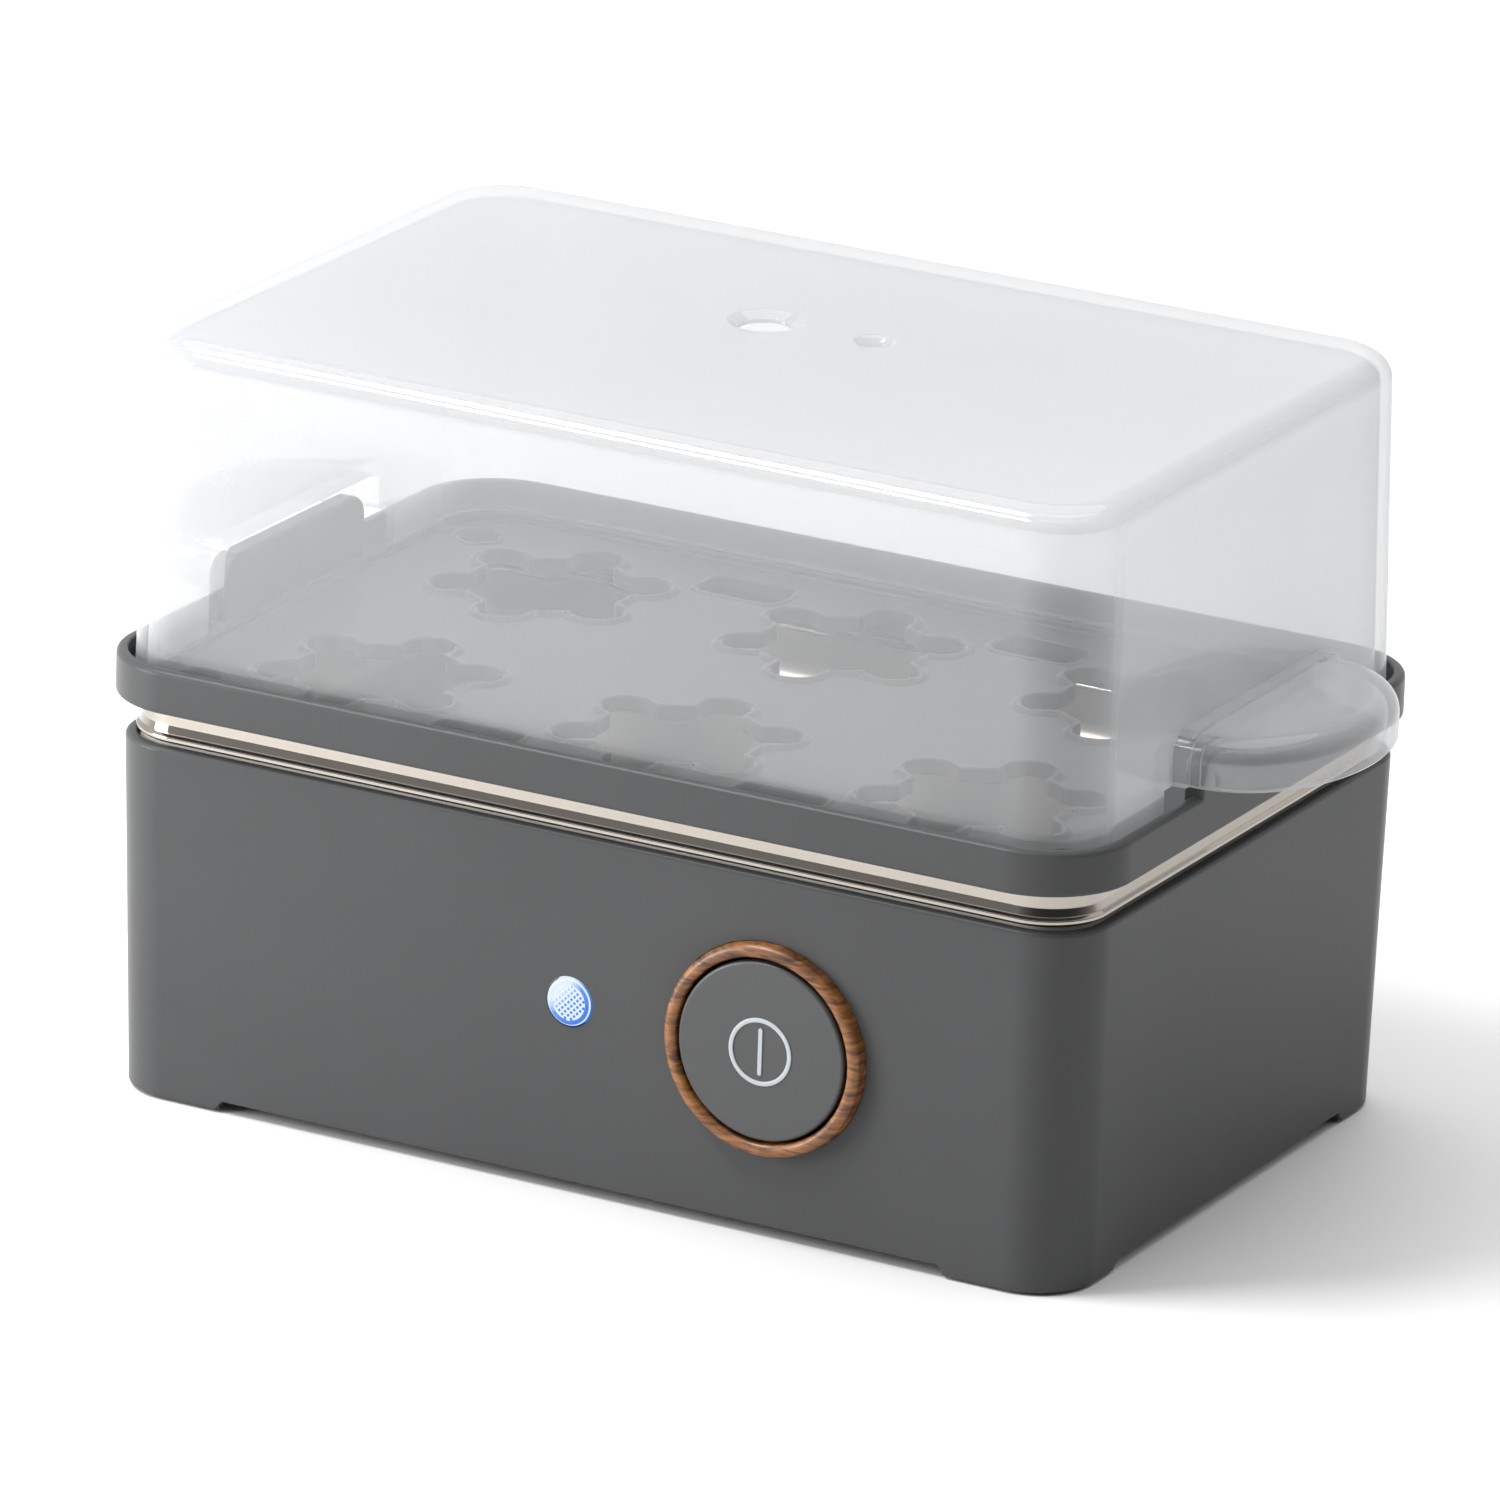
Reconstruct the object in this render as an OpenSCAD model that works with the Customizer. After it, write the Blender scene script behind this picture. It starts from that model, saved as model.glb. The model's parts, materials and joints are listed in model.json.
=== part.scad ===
// Six-egg electric cooker: a plastic base with a steel water pan, a lift-out egg tray and a
// translucent lid with two hollow handles.
// Millimetres, +Z up, X along the long side, the push button faces -Y.
// The origin is on the standing surface, under the middle of the base.

/* [Base housing] */
// Length of the housing at its top edge
base_l = 180.4; // [179.8:0.1:181]
// Depth of the housing at its top edge
base_w = 118.9; // [118.5:0.1:119.5]
// How much shorter the housing is at its foot than at its top
base_draft_l = 1.7; // [1:0.1:2]
// How much less deep the housing is at its foot than at its top
base_draft_w = 2.5; // [1.5:0.1:3]
// Radius of the housing's upright corners
base_r = 11; // [10:0.5:12]
// Height of the housing's top edge
base_top = 61.6; // [61:0.1:61.8]
// Wall of the housing
base_wall = 2.5; // [2.2:0.1:2.8]

/* [Heating pan] */
// Length of the steel band that shows between the housing and the tray
pan_l = 176.6; // [176:0.1:177]
// Depth of that steel band
pan_w = 115.1; // [114.6:0.1:115.4]
// Height of the underside of the pan's floor
pan_floor = 52; // [51.5:0.1:53]
// Thickness of the pan's sheet
pan_t = 0.8; // [0.6:0.1:1]

/* [Egg tray] */
// Length of the tray's ring
tray_l = 185; // [184:0.5:186]
// Depth of the tray's ring
tray_w = 123.8; // [123:0.1:124.5]
// Height of the ring's underside, which rests on the pan's rim
tray_bottom = 68.1; // [68:0.1:68.3]
// Height of the ring's top
tray_top = 75.6; // [75:0.1:76]
// Height of the tabs in the middle of the two short sides
tab_top = 82; // [81:0.1:82.5]
// Distance between egg seats along the length
seat_pitch_l = 56; // [54:0.5:57]
// Distance between the two rows of egg seats
seat_pitch_w = 56; // [55:0.5:57]
// Radius of the round hole that an egg stands in
seat_r = 14; // [13:0.5:14.5]

/* [Lid] */
// Length of the lid at its lower edge
lid_l = 178.9; // [178:0.1:179.2]
// Depth of the lid at its lower edge
lid_w = 117.4; // [116.6:0.1:117.6]
// Length of the lid under its rounded top edge
lid_top_l = 177.2; // [176.5:0.1:178]
// Depth of the lid under its rounded top edge
lid_top_w = 114.3; // [113.8:0.1:115.5]
// Height of the lid's top above the standing surface
lid_top = 130; // [126:0.5:134]
// Wall of the lid
lid_wall = 1.7; // [1.5:0.1:1.8]
// How far each handle reaches from the middle of the lid
handle_reach = 111.5; // [110:0.5:113]
// Half of each handle's width where it meets the lid
handle_half = 26.6; // [26:0.1:27]

/* [Button and lamp] */
// Place of the push button along the front
button_x = 35; // [33:0.5:37]
// Height of the push button's centre
button_z = 32.6; // [32:0.1:33]
// Outside diameter of the wood ring round the button
bezel_d = 36; // [35.6:0.1:36.6]
// Diameter of the push button
button_d = 30.2; // [29.8:0.1:30.4]
// Travel of the push button
button_travel = 2.5; // [2:0.1:2.8]
// Place of the lamp along the front
lamp_x = -1.3; // [-3:0.1:0]
// Height of the lamp's centre
lamp_z = 33.1; // [32:0.1:34]
// Diameter of the lamp's lens
lamp_d = 8.7; // [8:0.1:9]

/* [Cord entry] */
// Place of the cord gland along the back
gland_x = -50; // [-52:0.5:-48]
// Height of the cord gland's centre
gland_z = 14; // [13.8:0.1:14.2]
// Bore of the gland, for the cord
gland_bore = 7; // [6.6:0.1:7]

/* [Hidden] */

$fn = 64;
HULL_FN = 32;
SKIN = 0.01;
BOTH = [-1, 1];

// Housing
base_bottom = 2;
foot_l = base_l - base_draft_l;
foot_w = base_w - base_draft_w;
rim_round = 1;
flange_under = base_top - 4;
flange_l = 169.6;
flange_w = 108.2;
rebate_l = 176.6;
rebate_w = 115.2;
rebate_z = 60.4;
lug_bottom = 0.4;
lug_l = 22;
lug_w = 18;
lug_gap = 0.3;
pad_x = 79;
pad_y = 48;
pad_d = 9;
pad_h = 1.4;

// Bottom cover and its screws
cover_l = foot_l - 2 * base_wall - 0.7;
cover_w = foot_w - 2 * base_wall - 0.7;
cover_z = 2.4;
cover_t = 2.4;
cover_top = cover_z + cover_t;
boss_x = 79;
boss_y = 27;
boss_d = 8;
boss_h = 20;
screw_d = 2.8;
screw_gap = 0.1;

// Pan, its gasket and its studs
pan_r = 10.2;
pan_shelf = 61.8;
pan_top = tray_bottom;
bead_out = 0.55;
bead_z0 = 62.1;
bead_z1 = 63.2;
basin_l = 168;
basin_w = 106.5;
basin_r = 9;
stud_x = 72;
stud_y = 34;
stud_d = 3.9;
stud_z = 31;
shelf_tab_z = 40;
shelf_tab_t = 3;
washer_t = 0.8;
nut_af = 7;
nut_h = 3.2;
earth_z = shelf_tab_z - washer_t - nut_h - 0.8;

// Heater under the pan
spreader_t = 2.8;
spreader_z = pan_floor - spreader_t;
element_d = 6;
element_z = spreader_z - element_d / 2 - 0.1;
element_y = 20;
element_x0 = -42;
element_x1 = 36;
pin_x = -54;
pin_z = 40;
strap_t = 1.2;
strap_z = spreader_z - 5.2;
strap_screw_y = 12.5;
stat_z = 38;
stat_spade_z = 33;
fuse_x = -26;
fuse_z = spreader_z - 2.4;
fuse_lead_z = 42;
fuse_lead_dx = 9;
clip_screw_y = 8;

// Button, switch and their bracket
face_y = -(base_w + foot_w) / 4;
seat_y = -58.4;
bezel_front = -61.3;
button_front = -61;
button_back = -58;
skirt_back = -53;
stem_back = -50;
stem_d = 8;
bracket_y = -46.5;
bracket_t = 1.5;
bracket_dx = 24;
plunger_w = 4.8;
plunger_back = -41.5;
switch_back = -29;
spade_back = -22;
spade_dx = 4;
spring_r = 6.4;
spring_wire_r = 0.6;
spring_turns = 5;
ring_r = 5.7;
stroke = 0.85;

// Lamp
lens_front = -59.4;
lens_back = -55;
led_d = 5;
led_dome_y = -52.3;
board_y = -50.4;
board_t = 1.6;
post_x = 4.5;
post_z = 21;

// Terminal block and cord clamp, on the bottom cover
block_x = -22;
block_y = 40;
pole_pitch = 8;
wire_row_z = 10;
lamp_row_z = 14.2;
gland_seat = 58.2;
gland_back = 50;
gland_front = 61.8;
clamp_y = 44;
clamp_dx = 9.5;
clamp_z = 16.8;
clamp_t = 3;

// Egg tray
ring_corner = 15.2;
ring_wall = 2;
ledge_z = 71;
ledge_w = 3.2;
deck_z = 69.6;
deck_under = 67.6;
skirt_l = 174.2;
skirt_w = 112.7;
skirt_z = 63.2;
skirt_t = 1.5;
lip_z = 70.5;
lip_w = 1.1;
lobe_r = 4.5;
lobe_at = 16;
lobe_step = 60;
tab_half = 22.5;
tab_t = 3.5;
tab_round = 4;
slot_l = 15.5;
slot_w = 9;
slot_x = 28;
slot_y = 45;
corner_hole_x = 80;
corner_hole_y = 45;
corner_hole_d = 7;

// Lid
lid_bottom = ledge_z;
lid_r = 12;
lid_round = 4;
hood_x = lid_l / 2 - 0.4;
hood_flange = 3;
hood_bottom = 78.3;
hood_top = 87;
cutout_half = 30;
vent_y = 8.2;
vent_big_x = -5.8;
vent_big_d = 9;
vent_big_rim = 12.4;
vent_small_x = 14.4;
vent_small_d = 4.6;
vent_small_rim = 6.8;

// Wires inside the base: routes from end to end
mains_r = 1.2;
lamp_wire_r = 0.7;
live_route = [[-22, 38, 10], [-22, 33, 10], [-22, 28, 10], [-14, 8, 14], [2, -8, 20],
    [22, -14, 28], [31, -14, 32.6], [31, -18, 32.6], [31, -22, 32.6]];
switched_route = [[39, -22, 32.6], [39, -18, 32.6], [39, -14, 32.6], [28, 2, 31],
    [8, 12, 29], [-10, 9, 29], [-17, 0, 34], [-17, 0, 38], [-17, 0, 42]];
fuse_route = [[-35, 0, 42], [-35, 0, 38], [-35, 0, 34], [-28, 2, 26], [-14, 2, 22],
    [-5, 0, 25], [-5, 0, 29], [-5, 0, 33]];
thermostat_route = [[5, 0, 33], [5, 0, 29], [5, 1, 25], [0, 18, 22], [-22, 26, 24],
    [-44, 25, 28], [-54, 20, 32], [-54, 20, 36], [-54, 20, 40]];
neutral_route = [[-30, 38, 10], [-30, 33, 10], [-30, 28, 10], [-40, 10, 14], [-52, -8, 21],
    [-54, -20, 30], [-54, -20, 35], [-54, -20, 40]];
earth_route = [[-14, 38, 10], [-14, 33, 10], [-14, 28, 10], [8, 22, 12], [36, 26, 22],
    [50, 34, 35.6], [55, 34, 35.6], [60, 34, 35.6]];
lamp_neutral_route = [[-4, -48.8, 27], [-4, -46, 27], [-4, -42, 26], [-14, -20, 17],
    [-30, 12, 18], [-30, 27, 14.2], [-30, 33, 14.2], [-30, 38, 14.2]];
lamp_live_route = [[1.4, -48.8, 27], [1.4, -46, 27], [1.8, -43, 26], [12, -33, 20],
    [30, -26.5, 18], [39, -25.5, 22], [39, -25.5, 26], [39, -25.5, 30.1]];

// ---------- Shared shapes ----------

// Outline of a rectangle with round corners
module rounded(l, w, r) {
    square([l - 2 * r, w], center = true);
    square([l, w - 2 * r], center = true);
    for (sx = BOTH, sy = BOTH)
        translate([sx * (l / 2 - r), sy * (w / 2 - r)]) circle(r);
}

// Upright block with round corners, from z0 to z1
module block(l, w, r, z0, z1) {
    translate([0, 0, z0]) linear_extrude(z1 - z0) rounded(l, w, r);
}

// Thin layer of such a block, for a hull
module layer(l, w, r, z) {
    translate([0, 0, z]) linear_extrude(SKIN) rounded(l, w, r, $fn = HULL_FN);
}

// Places its children at the four corners
module corners(x, y) {
    for (sx = BOTH, sy = BOTH) translate([sx * x, sy * y, 0]) children();
}

// Cylinder along +Y, from y0 to y1
module bar_y(x, z, d, y0, y1) {
    translate([x, y0, z]) rotate([-90, 0, 0]) cylinder(d = d, h = y1 - y0);
}

// Hexagon nut with its bore, standing on z
module nut(z, bore) {
    translate([0, 0, z]) difference() {
        cylinder(d = nut_af / cos(30), h = nut_h, $fn = 6);
        translate([0, 0, -1]) cylinder(d = bore, h = nut_h + 2);
    }
}

// ---------- Swept tubes ----------

function unit(v) = v / norm(v);

function spline(a, b, c, d, t) =
    (2 * b + (c - a) * t + (2 * a - 5 * b + 4 * c - d) * t * t
    + (3 * b - a - 3 * c + d) * t * t * t) / 2;

function smooth(p, n) = [
    for (i = [0:len(p) - 2]) for (k = [0:n - 1])
        spline(p[max(i - 1, 0)], p[i], p[i + 1], p[min(i + 2, len(p) - 1)], k / n),
    p[len(p) - 1]
];

// Directions along a path, which starts along first and ends along last
function tangents(p, first, last) = [
    first,
    for (i = [1:len(p) - 2]) unit(p[i + 1] - p[i - 1]),
    last
];

// Side vectors that turn with the path without twisting
function sides(t, i, u, out) =
    i == len(t) ? out
    : let (v = unit(u - (u * t[i]) * t[i])) sides(t, i + 1, v, concat(out, [v]));

module tube(p, r, n, first, last) {
    t = tangents(p, first, last);
    side = abs(first.z) < 0.9 ? cross(first, [0, 0, 1]) : cross(first, [1, 0, 0]);
    u = sides(t, 0, unit(side), []);
    rings = len(p);
    points = [for (i = [0:rings - 1]) for (k = [0:n - 1])
        p[i] + r * (cos(360 * k / n) * u[i] + sin(360 * k / n) * cross(t[i], u[i]))];
    walls = [for (i = [0:rings - 2]) for (k = [0:n - 1])
        [i * n + k, (i + 1) * n + k, (i + 1) * n + (k + 1) % n, i * n + (k + 1) % n]];
    ends = [[for (k = [0:n - 1]) k], [for (k = [n - 1:-1:0]) (rings - 1) * n + k]];
    polyhedron(points, concat(walls, ends), convexity = 6);
}

module wire(route, r) {
    end = len(route) - 1;
    tube(smooth(route, 4), r, 8, unit(route[1] - route[0]), unit(route[end] - route[end - 1]));
}

// ---------- Base ----------

module housing_skin() {
    hull() {
        layer(foot_l, foot_w, base_r, base_bottom);
        layer(base_l, base_w, base_r, base_top - rim_round);
        layer(base_l - 0.6, base_w - 0.6, base_r - 0.3, base_top - 0.3);
        layer(base_l - 2 * rim_round, base_w - 2 * rim_round, base_r - rim_round, base_top - SKIN);
    }
}

module housing_cavity() {
    inner_r = base_r - base_wall;
    hull() {
        layer(foot_l - 2 * base_wall, foot_w - 2 * base_wall, inner_r, base_bottom - 1);
        layer(base_l - 2 * base_wall, base_w - 2 * base_wall, inner_r, flange_under - SKIN);
    }
}

// Four corners of the housing reach down as low feet with sloping ends
module corner_lugs() {
    slope = 1.6;
    intersection() {
        block(foot_l, foot_w, base_r, lug_bottom, base_bottom + 0.1);
        for (sx = BOTH, sy = BOTH) scale([sx, sy, 1])
            intersection() {
                rotate([90, 0, 0]) translate([0, 0, -foot_w]) linear_extrude(2 * foot_w)
                    polygon([[foot_l / 2 - lug_l - slope, base_bottom + 1],
                        [foot_l / 2 - lug_l + slope, lug_bottom - 1],
                        [foot_l, lug_bottom - 1], [foot_l, base_bottom + 1]]);
                translate([-foot_l, 0, 0]) rotate([90, 0, 90]) linear_extrude(3 * foot_l)
                    polygon([[foot_w / 2 - lug_w - slope, base_bottom + 1],
                        [foot_w / 2 - lug_w + slope, lug_bottom - 1],
                        [foot_w, lug_bottom - 1], [foot_w, base_bottom + 1]]);
            }
    }
    // inner shelf of each lug, which carries the rubber pad
    for (sx = BOTH, sy = BOTH) scale([sx, sy, 1])
        intersection() {
            block(foot_l - 1, foot_w - 1, base_r - 0.5, lug_bottom, base_bottom + 0.3);
            translate([foot_l / 2 - lug_l, foot_w / 2 - lug_w, 0]) cube([lug_l, lug_w, 3]);
        }
}

module housing_inside() {
    // columns for the cover's screws, each with a rib to the side wall
    corners(boss_x, boss_y) translate([0, 0, cover_top]) cylinder(d = boss_d, h = boss_h);
    for (sx = BOTH, sy = BOTH)
        translate([sx > 0 ? boss_x : -base_l / 2 + 1.8, sy * boss_y - 1, cover_top])
            cube([base_l / 2 - 1.8 - boss_x, 2, boss_h]);
    // shelves that the pan's studs hang from
    for (sx = BOTH, sy = BOTH)
        translate([sx > 0 ? stud_x - 6 : -base_l / 2 + 1.6, sy * stud_y - 6, shelf_tab_z])
            cube([base_l / 2 - 1.6 - stud_x + 6, 12, shelf_tab_t]);
    // columns for the switch bracket and for the lamp's board
    for (s = BOTH) bar_y(button_x + s * bracket_dx, button_z, 7, face_y + 1, bracket_y);
    for (s = BOTH) bar_y(lamp_x + s * post_x, post_z, 5, face_y + 1, board_y);
}

module housing_holes() {
    block(flange_l, flange_w, base_r - 1.2, flange_under - 1, base_top + 1);
    block(rebate_l, rebate_w, base_r - 1, rebate_z, base_top + 1);
    bar_y(button_x, button_z, bezel_d - 2.8, seat_y - 5, -50);
    bar_y(button_x, button_z, bezel_d + 0.1, seat_y - 5, seat_y);
    bar_y(lamp_x, lamp_z, lamp_d + 0.4, face_y - 3, -50);
    bar_y(gland_x, gland_z, 12.2, 50, 62);
    bar_y(gland_x, gland_z, 17.2, gland_seat, 62);
    corners(boss_x, boss_y) translate([0, 0, cover_top - 1]) cylinder(d = screw_d + screw_gap, h = 16);
    corners(stud_x, stud_y) translate([0, 0, shelf_tab_z - 1]) cylinder(d = 4.4, h = shelf_tab_t + 2);
    for (s = BOTH)
        bar_y(button_x + s * bracket_dx, button_z, screw_d + screw_gap, bracket_y - 8, bracket_y + 1);
    for (s = BOTH) bar_y(lamp_x + s * post_x, post_z, 2.1, board_y - 4.6, board_y + 1);
    corners(pad_x, pad_y) translate([0, 0, -1]) cylinder(d = pad_d + 0.1, h = pad_h + 1);
}

module housing() {
    color("#5a5d5f") difference() {
        union() {
            difference() {
                housing_skin();
                housing_cavity();
            }
            corner_lugs();
            housing_inside();
        }
        housing_holes();
    }
}

module bottom_cover() {
    color("#4c4f51") difference() {
        union() {
            block(cover_l, cover_w, base_r - base_wall - 0.3, cover_z, cover_top);
            for (s = BOTH) translate([gland_x + s * clamp_dx, clamp_y, cover_z])
                cylinder(d = 6.4, h = clamp_z - cover_z);
            translate([gland_x - 7, clamp_y - 3.2, cover_z])
                cube([14, 6.4, gland_z - 2.5 - cover_z]);
        }
        // the corners give way to the feet
        corners(foot_l / 2, foot_w / 2) translate([-lug_l - lug_gap, -lug_w - lug_gap, 0])
            cube([2 * (lug_l + lug_gap), 2 * (lug_w + lug_gap), base_bottom + 0.5]);
        corners(boss_x, boss_y) {
            cylinder(d = screw_d + 0.5, h = 10);
            cylinder(d = 6.6, h = cover_z + 1.4);
        }
        bar_y(gland_x, gland_z, gland_bore + 0.2, clamp_y - 5, clamp_y + 5);
        for (s = BOTH) translate([gland_x + s * clamp_dx, clamp_y, cover_top])
            cylinder(d = screw_d + screw_gap, h = 20);
        // two groups of air slots
        for (sx = BOTH, k = [-3:3])
            translate([sx * 36 + k * 6, 0, 0]) block(2.4, 34, 1.1, cover_z - 1, cover_top + 1);
    }
}

module foot_pads() {
    color("#2b2b2c") corners(pad_x, pad_y) cylinder(d = pad_d, h = pad_h);
}

module cover_screws() {
    color("silver") corners(boss_x, boss_y) {
        difference() {
            translate([0, 0, cover_z + 0.1]) cylinder(d = 6.2, h = 1.3);
            translate([-0.5, -2, cover_z]) cube([1, 4, 0.7]);
            translate([-2, -0.5, cover_z]) cube([4, 1, 0.7]);
        }
        translate([0, 0, cover_z + 1.3]) cylinder(d = screw_d, h = 15);
    }
}

// ---------- Pan and heater ----------

module pan_gasket() {
    color("#d8d4cc") difference() {
        block(rebate_l - 0.6, rebate_w - 0.6, base_r - 1.3, rebate_z, pan_shelf);
        block(flange_l + 0.6, flange_w + 0.6, base_r - 1.2, rebate_z - 1, pan_shelf + 1);
    }
}

module heating_pan() {
    color("#c9c7c3") difference() {
        union() {
            block(pan_l, pan_w, pan_r, pan_shelf, pan_top);
            block(pan_l + 2 * bead_out, pan_w + 2 * bead_out, pan_r + bead_out, bead_z0, bead_z1);
            block(basin_l, basin_w, basin_r, pan_floor, pan_shelf + pan_t);
        }
        block(pan_l - 2 * pan_t, pan_w - 2 * pan_t, pan_r - pan_t, pan_shelf + pan_t, pan_top + 1);
        block(basin_l - 2 * pan_t, basin_w - 2 * pan_t, basin_r - pan_t, pan_floor + pan_t, pan_top);
    }
}

module pan_studs() {
    color("silver") corners(stud_x, stud_y)
        translate([0, 0, stud_z]) cylinder(d = stud_d, h = pan_floor - stud_z);
}

module pan_washers() {
    color("silver") corners(stud_x, stud_y) translate([0, 0, shelf_tab_z - washer_t]) difference() {
        cylinder(d = 9, h = washer_t);
        translate([0, 0, -1]) cylinder(d = stud_d + 0.2, h = 3);
    }
}

module pan_nuts() {
    color("silver") corners(stud_x, stud_y) nut(shelf_tab_z - washer_t - nut_h, stud_d + 0.1);
}

module heat_spreader() {
    color("#b9bcbf") difference() {
        union() {
            block(118, 62, 10, spreader_z, pan_floor);
            for (s = BOTH) translate([0, s * strap_screw_y, strap_z + strap_t])
                cylinder(d = 6, h = spreader_z - strap_z - strap_t);
            translate([fuse_x, clip_screw_y, fuse_z - 0.6]) cylinder(d = 5, h = 3);
        }
        for (s = BOTH) translate([0, s * strap_screw_y, strap_z])
            cylinder(d = screw_d + screw_gap, h = 6.5);
        translate([fuse_x, clip_screw_y, fuse_z - 1]) cylinder(d = screw_d + screw_gap, h = 4.6);
    }
}

// Open racetrack of sheathed heating tube
module heating_element() {
    color("#8d8a86") {
        for (s = BOTH) translate([element_x0, s * element_y, element_z])
            rotate([0, 90, 0]) cylinder(d = element_d, h = element_x1 - element_x0);
        translate([element_x1, 0, element_z]) rotate([0, 0, -90])
            rotate_extrude(angle = 180) translate([element_y, 0]) circle(d = element_d);
    }
}

// Ceramic end plugs with pins that bend down to the wires
module element_terminals() {
    for (s = BOTH) translate([0, s * element_y, 0]) {
        color("#ece7db") translate([element_x0 - 5, 0, element_z])
            rotate([0, 90, 0]) cylinder(d = element_d + 0.1, h = 5);
        color("silver") translate([pin_x, 0, element_z])
            rotate([0, 90, 0]) cylinder(d = 2.6, h = element_x0 - 4.5 - pin_x);
        color("silver") translate([pin_x, 0, pin_z]) cylinder(d = 2.6, h = element_z - pin_z);
        color("silver") translate([pin_x, 0, element_z]) sphere(d = 2.6);
    }
}

module thermostat() {
    color("#d9d4c6") {
        translate([0, 0, strap_z + strap_t]) cylinder(d = 17, h = spreader_z - strap_z - strap_t);
        translate([0, 0, stat_z]) cylinder(d = 13.8, h = strap_z + strap_t - stat_z);
        for (s = BOTH) translate([s * 5 - 0.4, -2.5, stat_spade_z]) cube([0.8, 5, stat_z - stat_spade_z]);
    }
}

module thermostat_strap() {
    color("#aeb0b2") difference() {
        block(20, 32, 3, strap_z, strap_z + strap_t);
        translate([0, 0, strap_z - 1]) cylinder(d = 14.2, h = 4);
        for (s = BOTH) translate([0, s * strap_screw_y, strap_z - 1]) cylinder(d = 3.2, h = 4);
    }
}

// Two screws for the strap and one for the fuse's clip
module heater_screws() {
    color("silver") {
        for (s = BOTH) translate([0, s * strap_screw_y, 0]) {
            translate([0, 0, strap_z - 2]) cylinder(d = 5.6, h = 2);
            translate([0, 0, strap_z - 1]) cylinder(d = screw_d, h = 7);
        }
        translate([fuse_x, clip_screw_y, 0]) {
            translate([0, 0, fuse_z - 3.4]) cylinder(d = 5, h = 2);
            translate([0, 0, fuse_z - 2]) cylinder(d = screw_d, h = 5);
        }
    }
}

module thermal_fuse() {
    color("#e8e2d0") {
        translate([fuse_x - 5.5, 0, fuse_z]) rotate([0, 90, 0]) cylinder(d = 4, h = 11);
        translate([fuse_x - fuse_lead_dx, 0, fuse_z]) rotate([0, 90, 0])
            cylinder(d = 1.2, h = 2 * fuse_lead_dx);
        for (s = BOTH) translate([fuse_x + s * fuse_lead_dx, 0, fuse_lead_z])
            cylinder(d = 1.2, h = fuse_z - fuse_lead_z);
        for (s = BOTH) translate([fuse_x + s * fuse_lead_dx, 0, fuse_z]) sphere(d = 1.2);
    }
}

module fuse_clip() {
    color("#aeb0b2") difference() {
        union() {
            translate([fuse_x - 2.5, -3, fuse_z - 3]) cube([5, 6, 3]);
            translate([fuse_x - 2.5, 2, fuse_z - 1.4]) cube([5, 9, 0.8]);
        }
        translate([fuse_x - 4, 0, fuse_z]) rotate([0, 90, 0]) cylinder(d = 4.2, h = 8);
        translate([fuse_x, clip_screw_y, fuse_z - 4]) cylinder(d = 3.2, h = 8);
    }
}

// Earth connection on one of the pan's studs
module earth_tag() {
    color("#c9b36a") difference() {
        union() {
            translate([stud_x, stud_y, earth_z]) cylinder(d = 9, h = 0.8);
            translate([60, stud_y - 2, earth_z]) cube([stud_x - 60, 4, 0.8]);
        }
        translate([stud_x, stud_y, earth_z - 1]) cylinder(d = stud_d + 0.2, h = 3);
    }
}

module earth_nut() {
    color("silver") translate([stud_x, stud_y, 0]) nut(earth_z - nut_h, stud_d + 0.1);
}

// ---------- Push button and switch ----------

module button_bezel() {
    color("#6f4630") difference() {
        union() {
            bar_y(button_x, button_z, bezel_d, bezel_front + 0.8, seat_y);
            bar_y(button_x, button_z, bezel_d - 1.4, bezel_front, bezel_front + 1);
            bar_y(button_x, button_z, bezel_d - 3, seat_y - 0.5, -53.5);
        }
        bar_y(button_x, button_z, button_d + 0.8, bezel_front - 1, -50);
    }
}

module power_button() {
    color("#5f6264") difference() {
        bar_y(button_x, button_z, button_d, button_front, skirt_back);
        difference() {
            bar_y(button_x, button_z, button_d - 3.2, button_back, skirt_back + 1);
            bar_y(button_x, button_z, stem_d, button_back - 1, skirt_back + 2);
        }
    }
    color("#5f6264") bar_y(button_x, button_z, stem_d, skirt_back - 0.1, stem_back);
}

// Ring and bar of the power sign, let into the button's face
module power_icon() {
    icon_front = button_front - 0.15;
    color("#d5d8da") {
        difference() {
            bar_y(button_x, button_z, 2 * ring_r, icon_front, button_front);
            bar_y(button_x, button_z, 2 * (ring_r - stroke), icon_front - 1, button_front + 1);
        }
        translate([button_x - stroke / 2, icon_front, button_z - 4])
            cube([stroke, button_front - icon_front, 8]);
    }
}

module button_spring() {
    steps = 14;
    y0 = button_back + spring_wire_r + 0.05;
    y1 = bracket_y - spring_wire_r - 0.05;
    count = spring_turns * steps;
    path = [for (i = [0:count]) let (a = 360 * i / steps)
        [button_x + spring_r * cos(a), y0 + (y1 - y0) * i / count, button_z + spring_r * sin(a)]];
    color("silver")
        tube(path, spring_wire_r, 6, unit(path[1] - path[0]), unit(path[count] - path[count - 1]));
}

module switch_plunger() {
    color("#e9e6df") translate([button_x - plunger_w / 2, stem_back, button_z - plunger_w / 2])
        cube([plunger_w, plunger_back - stem_back, plunger_w]);
}

module switch_body() {
    front = bracket_y + bracket_t;
    hole = plunger_w + 0.6;
    color("#26282a") difference() {
        translate([button_x - 7.5, front, button_z - 8]) cube([15, switch_back - front, 16]);
        translate([button_x - hole / 2, front - 1, button_z - hole / 2])
            cube([hole, plunger_back + button_travel + 0.6 - front + 1, hole]);
    }
}

module switch_terminals() {
    color("#d0c8a8") for (s = BOTH)
        translate([button_x + s * spade_dx - 0.4, switch_back, button_z - 2.5])
            cube([0.8, spade_back - switch_back, 5]);
}

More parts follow.
